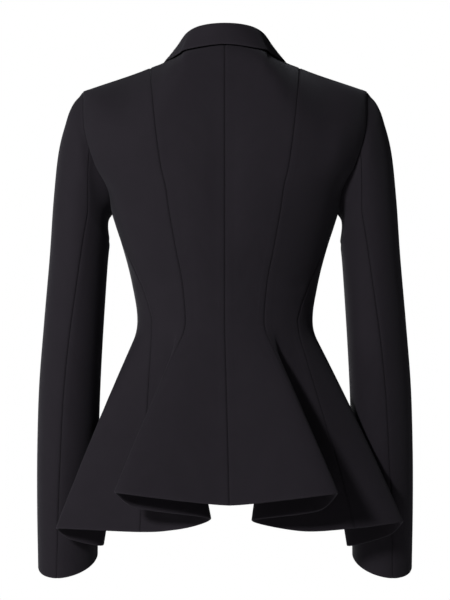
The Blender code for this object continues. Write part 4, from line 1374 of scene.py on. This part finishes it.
def thread_material():
    """Twisted black sewing thread."""
    found = bpy.data.materials.get("black_thread")
    if found:
        return found
    material, tree, shader = new_material("black_thread")
    place = tree.nodes.new("ShaderNodeTexCoord")
    plies = tree.nodes.new("ShaderNodeTexWave")
    plies.bands_direction = "DIAGONAL"
    set_values(plies, {"Scale": PLY_RATE, "Distortion": PLY_WAVER})
    link(tree, place, "Object", plies, "Vector")
    tone_ramp(tree, plies, "Fac", THREAD_TONES, (0.0, 1.0), shader)
    bump_node(tree, plies, "Fac", THREAD_RELIEF, shader)
    set_values(shader, THREAD_SOCKETS)
    return material


# Buttons and buttonholes


def select_facing(mesh, way):
    """In edit mode, selects the faces that look up, way 1, or down, way -1."""
    bpy.ops.object.mode_set(mode="OBJECT")
    for polygon in mesh.polygons:
        polygon.select = polygon.normal.z * way > FACING
    bpy.ops.object.mode_set(mode="EDIT")


def select_only(*pieces):
    """Selects these pieces alone and makes the last one active."""
    bpy.ops.object.select_all(action="DESELECT")
    for piece in pieces:
        piece.select_set(True)
        bpy.context.view_layer.objects.active = piece


def apply_modifiers(piece):
    select_only(piece)
    for modifier in list(piece.modifiers):
        bpy.ops.object.modifier_apply(modifier=modifier.name)


def add_cylinder(sides, radius, depth, place, turn=(0, 0, 0)):
    """New cylinder, with its place and turn in its mesh."""
    bpy.ops.object.select_all(action="DESELECT")
    bpy.ops.mesh.primitive_cylinder_add(
        vertices=sides, radius=radius, depth=depth, location=place, rotation=turn
    )
    bpy.ops.object.transform_apply(location=True, rotation=True, scale=False)
    return bpy.context.active_object


def round_edges(piece, width, segments, sharp):
    """Rounds the edges that turn by more than so many degrees."""
    soft = piece.modifiers.new("rounded edges", "BEVEL")
    soft.width = width
    soft.segments = segments
    soft.limit_method = "ANGLE"
    soft.angle_limit = math.radians(sharp)
    apply_modifiers(piece)


def turned_button(button):
    """One button at the origin, face up: rim, dished face, rounded edge, boss at the back and four holes."""
    boss = button.thick * BOSS_SHARE
    disc = button.thick - boss
    piece = add_cylinder(BUTTON_SIDES, button.radius, disc, (0, 0, boss + disc / 2))
    bpy.ops.object.mode_set(mode="EDIT")
    bpy.ops.mesh.select_mode(type="FACE")
    select_facing(piece.data, 1)
    bpy.ops.mesh.inset(thickness=button.rim)
    bpy.ops.mesh.inset(thickness=button.rim * RIM_SLOPE)
    bpy.ops.transform.translate(value=(0, 0, -button.dish))
    bpy.ops.mesh.inset(thickness=button.radius * FACE_INSET)
    bpy.ops.transform.translate(value=(0, 0, -button.dish * FACE_DIP))
    select_facing(piece.data, -1)
    bpy.ops.mesh.inset(thickness=button.radius * BOSS_INSET)
    bpy.ops.mesh.extrude_region_move(TRANSFORM_OT_translate={"value": (0, 0, -boss)})
    bpy.ops.transform.resize(value=(BOSS_TAPER, BOSS_TAPER, 1.0))
    bpy.ops.object.mode_set(mode="OBJECT")
    round_edges(piece, button.rim * EDGE_ROUND, segments=3, sharp=25)
    reach = button.hole_spread * math.sqrt(2)
    for k in range(HOLE_COUNT):
        turn = math.tau * (k + 0.5) / HOLE_COUNT
        place = (reach * math.cos(turn), reach * math.sin(turn), button.thick / 2)
        drill = add_cylinder(HOLE_SIDES, button.hole, button.thick * 3, place)
        cut = piece.modifiers.new("hole", "BOOLEAN")
        cut.object = drill
        cut.operation = "DIFFERENCE"
        cut.solver = "EXACT"
        apply_modifiers(piece)
        bpy.data.objects.remove(drill)
    select_only(piece)
    bpy.ops.object.shade_smooth_by_angle(angle=math.radians(35))
    return piece


def sewing_cross(button):
    """Thread of one button at the origin: three strands over each pair of holes, a wound shank under it."""
    face = button.thick - button.dish * (1 + FACE_DIP)
    half = button.hole_spread + button.hole / 2
    strands = []
    for row in (-1, 1):
        for beside in (-STRAND_SPREAD, 0.0, STRAND_SPREAD):
            place = (0, row * button.hole_spread + beside * button.hole, face)
            strand = add_cylinder(
                STRAND_SIDES, button.hole * STRAND_RADIUS, half * 2, place, turn=(0, math.pi / 2, 0)
            )
            bpy.ops.object.mode_set(mode="EDIT")
            bpy.ops.mesh.select_all(action="SELECT")
            bpy.ops.mesh.subdivide(number_cuts=STRAND_CUTS)
            bpy.ops.object.mode_set(mode="OBJECT")
            for vertex in strand.data.vertices:
                vertex.co.z += button.hole * (STRAND_RISE - STRAND_DIVE * (vertex.co.x / half) ** 4)
            strands.append(strand)
    sink = BUTTON_STAND * SHANK_SINK
    shank = add_cylinder(SHANK_SIDES, button.hole_spread * SHANK_RADIUS, BUTTON_STAND, (0, 0, -sink))
    round_edges(shank, BUTTON_STAND * EDGE_ROUND, segments=2, sharp=30)
    select_only(*strands, shank)
    bpy.ops.object.join()
    bpy.ops.object.shade_smooth_by_angle(angle=math.radians(50))
    return bpy.context.active_object


def lower_level(z):
    """Level of a height between underarm and waist."""
    return np.array(1 + (z - UNDERARM_Z) / (WAIST_Z - UNDERARM_Z))


def button_places():
    """Matrix of each button: its seat on the right front and the way it faces."""
    found = []
    for k in range(BUTTON_COUNT):
        level = lower_level(TOP_BUTTON_Z - k * BUTTON_SPACING)
        seat = Vector(torso_point(1, np.array(180.0), level))
        way = Vector(torso_normal(1, np.array(180.0), level))
        turn = way.to_track_quat("Z", "Y").to_matrix().to_4x4()
        found.append(Matrix.Translation(seat + way * BUTTON_STAND) @ turn)
    return found


def copy_piece(model, name, matrix, material):
    """Copy of a piece with its own mesh, put in its place by its vertices."""
    mesh = model.data.copy()
    mesh.transform(matrix)
    mesh.materials.clear()
    mesh.materials.append(material)
    piece = bpy.data.objects.new(name, mesh)
    bpy.context.scene.collection.objects.link(piece)
    return piece


def front_place(x, z):
    """Point, normal and the way outward on the right front between underarm and waist."""
    level = lower_level(z)
    angle = section_angle(np.array(x), np.array(z), True)
    nearby = section_angle(np.array(x + NEARBY), np.array(z), True)
    point = torso_point(1, angle, level)
    return point, torso_normal(1, angle, level), unit(torso_point(1, nearby, level) - point)


def buttonhole_mesh(z, button, cloth):
    """Worked buttonhole at a height of the right front."""
    count = int(button.buttonhole / STITCH_PITCH)
    corners, faces = [], []

    def stitch(x, up, across, length):
        """Adds a rounded stitch that leans along the cut by across against up."""
        point, normal, along = front_place(x, z)
        upright = np.cross(normal, along)
        way = unit(upright * up + along * across)
        side_way = np.cross(normal, way)
        seat = normal * (cloth.wall / 2 + STITCH_RADIUS * STITCH_SEAT)
        centre = point + seat + upright * up * LIP * LIP_MIDDLE
        base = len(corners)
        for share, size in STITCH_RINGS:
            for k in range(STITCH_SIDES):
                turn = math.tau * k / STITCH_SIDES
                ring = side_way * math.cos(turn) + normal * math.sin(turn)
                corners.append(centre + way * share * length + ring * STITCH_RADIUS * size)
        last = base + (len(STITCH_RINGS) - 1) * STITCH_SIDES
        for first in range(base, last, STITCH_SIDES):
            for k in range(STITCH_SIDES):
                a, b = first + k, first + (k + 1) % STITCH_SIDES
                faces.append((a, b, b + STITCH_SIDES, a + STITCH_SIDES))
        faces.append(tuple(base + k for k in reversed(range(STITCH_SIDES))))
        faces.append(tuple(last + k for k in range(STITCH_SIDES)))

    for k in range(count):
        for up in (-1, 1):
            stitch(BUTTONHOLE_START + k * STITCH_PITCH, up, 0.0, LIP)
    for k in range(BAR_STITCHES):
        up = (k - BAR_STITCHES // 2) * BAR_SPREAD
        stitch(BUTTONHOLE_START + count * STITCH_PITCH + BAR_CLEAR, up, 0.0, LIP * BAR_LENGTH)
    half = FAN_STITCHES // 2
    for k in range(FAN_STITCHES):
        lean = (k - half) / half
        stitch(BUTTONHOLE_START - FAN_CLEAR, lean, -(1 - abs(lean)) - FAN_TILT, LIP * FAN_LENGTH)
    mesh = bpy.data.meshes.new("buttonhole")
    mesh.from_pydata([tuple(p) for p in corners], [], faces)
    mesh.shade_smooth()
    return mesh


# Stage


def soft_light(name, place, size, power):
    bpy.ops.object.select_all(action="DESELECT")
    bpy.ops.object.light_add(type="AREA", location=place)
    lamp = bpy.context.active_object
    lamp.name = name
    lamp.data.shape = "RECTANGLE"
    lamp.data.size, lamp.data.size_y = size
    lamp.data.energy = power
    lamp.rotation_euler = (Vector(LIGHTS_AIM) - lamp.location).to_track_quat("-Z", "Y").to_euler()


def background_node(tree, colour, strength):
    node = tree.nodes.new("ShaderNodeBackground")
    set_values(node, {"Color": colour, "Strength": strength})
    return node


def studio_world(ambient):
    """White to the eye, and an even soft light on the jacket."""
    world = bpy.data.worlds.new("studio")
    world.use_nodes = True
    tree = world.node_tree
    tree.nodes.clear()
    seen = background_node(tree, SEEN_WHITE, 1.0)
    cast = background_node(tree, CAST_WHITE, ambient)
    path = tree.nodes.new("ShaderNodeLightPath")
    both = tree.nodes.new("ShaderNodeMixShader")
    result = tree.nodes.new("ShaderNodeOutputWorld")
    link(tree, path, "Is Camera Ray", both, 0)
    link(tree, cast, "Background", both, 1)
    link(tree, seen, "Background", both, 2)
    link(tree, both, "Shader", result, "Surface")
    bpy.context.scene.world = world


def floor_material(colour):
    material, _, shader = new_material("studio_floor")
    set_values(shader, {"Base Color": colour, "Roughness": FLOOR_ROUGHNESS})
    return material


# Operators


class JACKET_OT_make_stage(bpy.types.Operator):
    """Set up the floor, the soft studio light and the camera behind the jacket"""

    bl_idname = "jacket.make_stage"
    bl_label = "Stage"

    def execute(self, context):
        stage = context.scene.jacket_stage
        bpy.ops.object.select_all(action="DESELECT")
        bpy.ops.mesh.primitive_circle_add(
            vertices=FLOOR_SIDES,
            radius=stage.floor_radius,
            fill_type="NGON",
            location=(0, 0, stage.floor_height),
        )
        floor = context.active_object
        floor.name = "studio_floor"
        floor.data.materials.append(floor_material(stage.floor_colour))
        for name, place, size in LIGHTS:
            soft_light(name, place, size, getattr(stage, f"{name}_power"))
        studio_world(stage.ambient)
        bpy.ops.object.camera_add(location=(0, -stage.camera_distance, stage.camera_height))
        camera = context.active_object
        camera.rotation_euler = (math.pi / 2, 0, 0)
        camera.data.sensor_width = SENSOR_WIDTH
        camera.data.lens = SENSOR_WIDTH * stage.camera_distance / stage.frame_height
        context.scene.camera = camera
        context.scene.view_settings.view_transform = "Standard"
        return {"FINISHED"}


class JACKET_OT_make_body(bpy.types.Operator):
    """Make the eight body panels, from centre back to the front edges"""

    bl_idname = "jacket.make_body"
    bl_label = "Body panels"

    def execute(self, context):
        cloth = context.scene.jacket_cloth
        for side, label in SIDES:
            for panel in PANELS:
                shell = body_shell(side, panel, cloth)
                place_cloth(shell, f"{panel.name}_cloth_{label}", f"{panel.name}_{label}")
        return {"FINISHED"}


class JACKET_OT_make_sleeves(bpy.types.Operator):
    """Make the top and under sleeves, from armhole to cuff"""

    bl_idname = "jacket.make_sleeves"
    bl_label = "Sleeves"

    def execute(self, context):
        cloth = context.scene.jacket_cloth
        for side, label in SIDES:
            top = sleeve_shell(side, FORE_SEAM - 360, HIND_SEAM, cloth)
            place_cloth(top, f"top_sleeve_cloth_{label}", f"top_sleeve_{label}")
            under = sleeve_shell(side, HIND_SEAM, FORE_SEAM, cloth)
            place_cloth(under, f"under_sleeve_cloth_{label}", f"under_sleeve_{label}")
        return {"FINISHED"}


class JACKET_OT_make_collar(bpy.types.Operator):
    """Make the folded collar and the two lapels"""

    bl_idname = "jacket.make_collar"
    bl_label = "Collar and lapels"

    def execute(self, context):
        cloth = context.scene.jacket_cloth
        place_cloth(collar_shell(cloth), "collar_cloth", "collar")
        for side, label in SIDES:
            name = f"lapel_cloth_{label}"
            place_cloth(lapel_shell(side, cloth), name, f"lapel_{label}")
        return {"FINISHED"}


class JACKET_OT_make_buttons(bpy.types.Operator):
    """Make the horn buttons, their sewing thread and the worked buttonholes"""

    bl_idname = "jacket.make_buttons"
    bl_label = "Buttons and buttonholes"

    def execute(self, context):
        button, cloth = context.scene.jacket_button, context.scene.jacket_cloth
        model, thread = turned_button(button), sewing_cross(button)
        for k, matrix in enumerate(button_places()):
            turned = copy_piece(model, f"horn_button_{k + 1}", matrix, horn_material())
            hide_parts(f"button_{k + 1}")
            sewing = copy_piece(thread, f"button_thread_{k + 1}", matrix, thread_material())
            mesh = buttonhole_mesh(TOP_BUTTON_Z - k * BUTTON_SPACING, button, cloth)
            mesh.materials.append(thread_material())
            hole = bpy.data.objects.new(f"buttonhole_{k + 1}", mesh)
            context.scene.collection.objects.link(hole)
            for piece in (turned, sewing, hole):
                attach(piece, "root")
        for piece in (model, thread):
            bpy.data.objects.remove(piece)
        return {"FINISHED"}


class JACKET_PT_pieces(bpy.types.Panel):
    """Pieces of the jacket and its stage"""

    bl_idname = "JACKET_PT_pieces"
    bl_label = "Jacket"
    bl_space_type = "VIEW_3D"
    bl_region_type = "UI"
    bl_category = "Jacket"

    def draw(self, context):
        for operator in OPERATORS:
            self.layout.operator(operator.bl_idname)
        for settings in (context.scene.jacket_cloth, context.scene.jacket_button, context.scene.jacket_stage):
            column = self.layout.column()
            for name in settings.__annotations__:
                column.prop(settings, name)


OPERATORS = (
    JACKET_OT_make_stage,
    JACKET_OT_make_body,
    JACKET_OT_make_sleeves,
    JACKET_OT_make_collar,
    JACKET_OT_make_buttons,
)
SETTINGS = (
    ("jacket_cloth", JacketClothSettings),
    ("jacket_button", JacketButtonSettings),
    ("jacket_stage", JacketStageSettings),
)


def register():
    for name, settings in SETTINGS:
        bpy.utils.register_class(settings)
        setattr(bpy.types.Scene, name, bpy.props.PointerProperty(type=settings))
    for operator in OPERATORS:
        bpy.utils.register_class(operator)
    bpy.utils.register_class(JACKET_PT_pieces)


def unregister():
    bpy.utils.unregister_class(JACKET_PT_pieces)
    for operator in reversed(OPERATORS):
        bpy.utils.unregister_class(operator)
    for name, settings in reversed(SETTINGS):
        delattr(bpy.types.Scene, name)
        bpy.utils.unregister_class(settings)


def main():
    register()
    bpy.ops.jacket.make_stage()
    bpy.ops.jacket.make_body()
    bpy.ops.jacket.make_sleeves()
    bpy.ops.jacket.make_collar()
    bpy.ops.jacket.make_buttons()


if __name__ == "__main__":
    main()
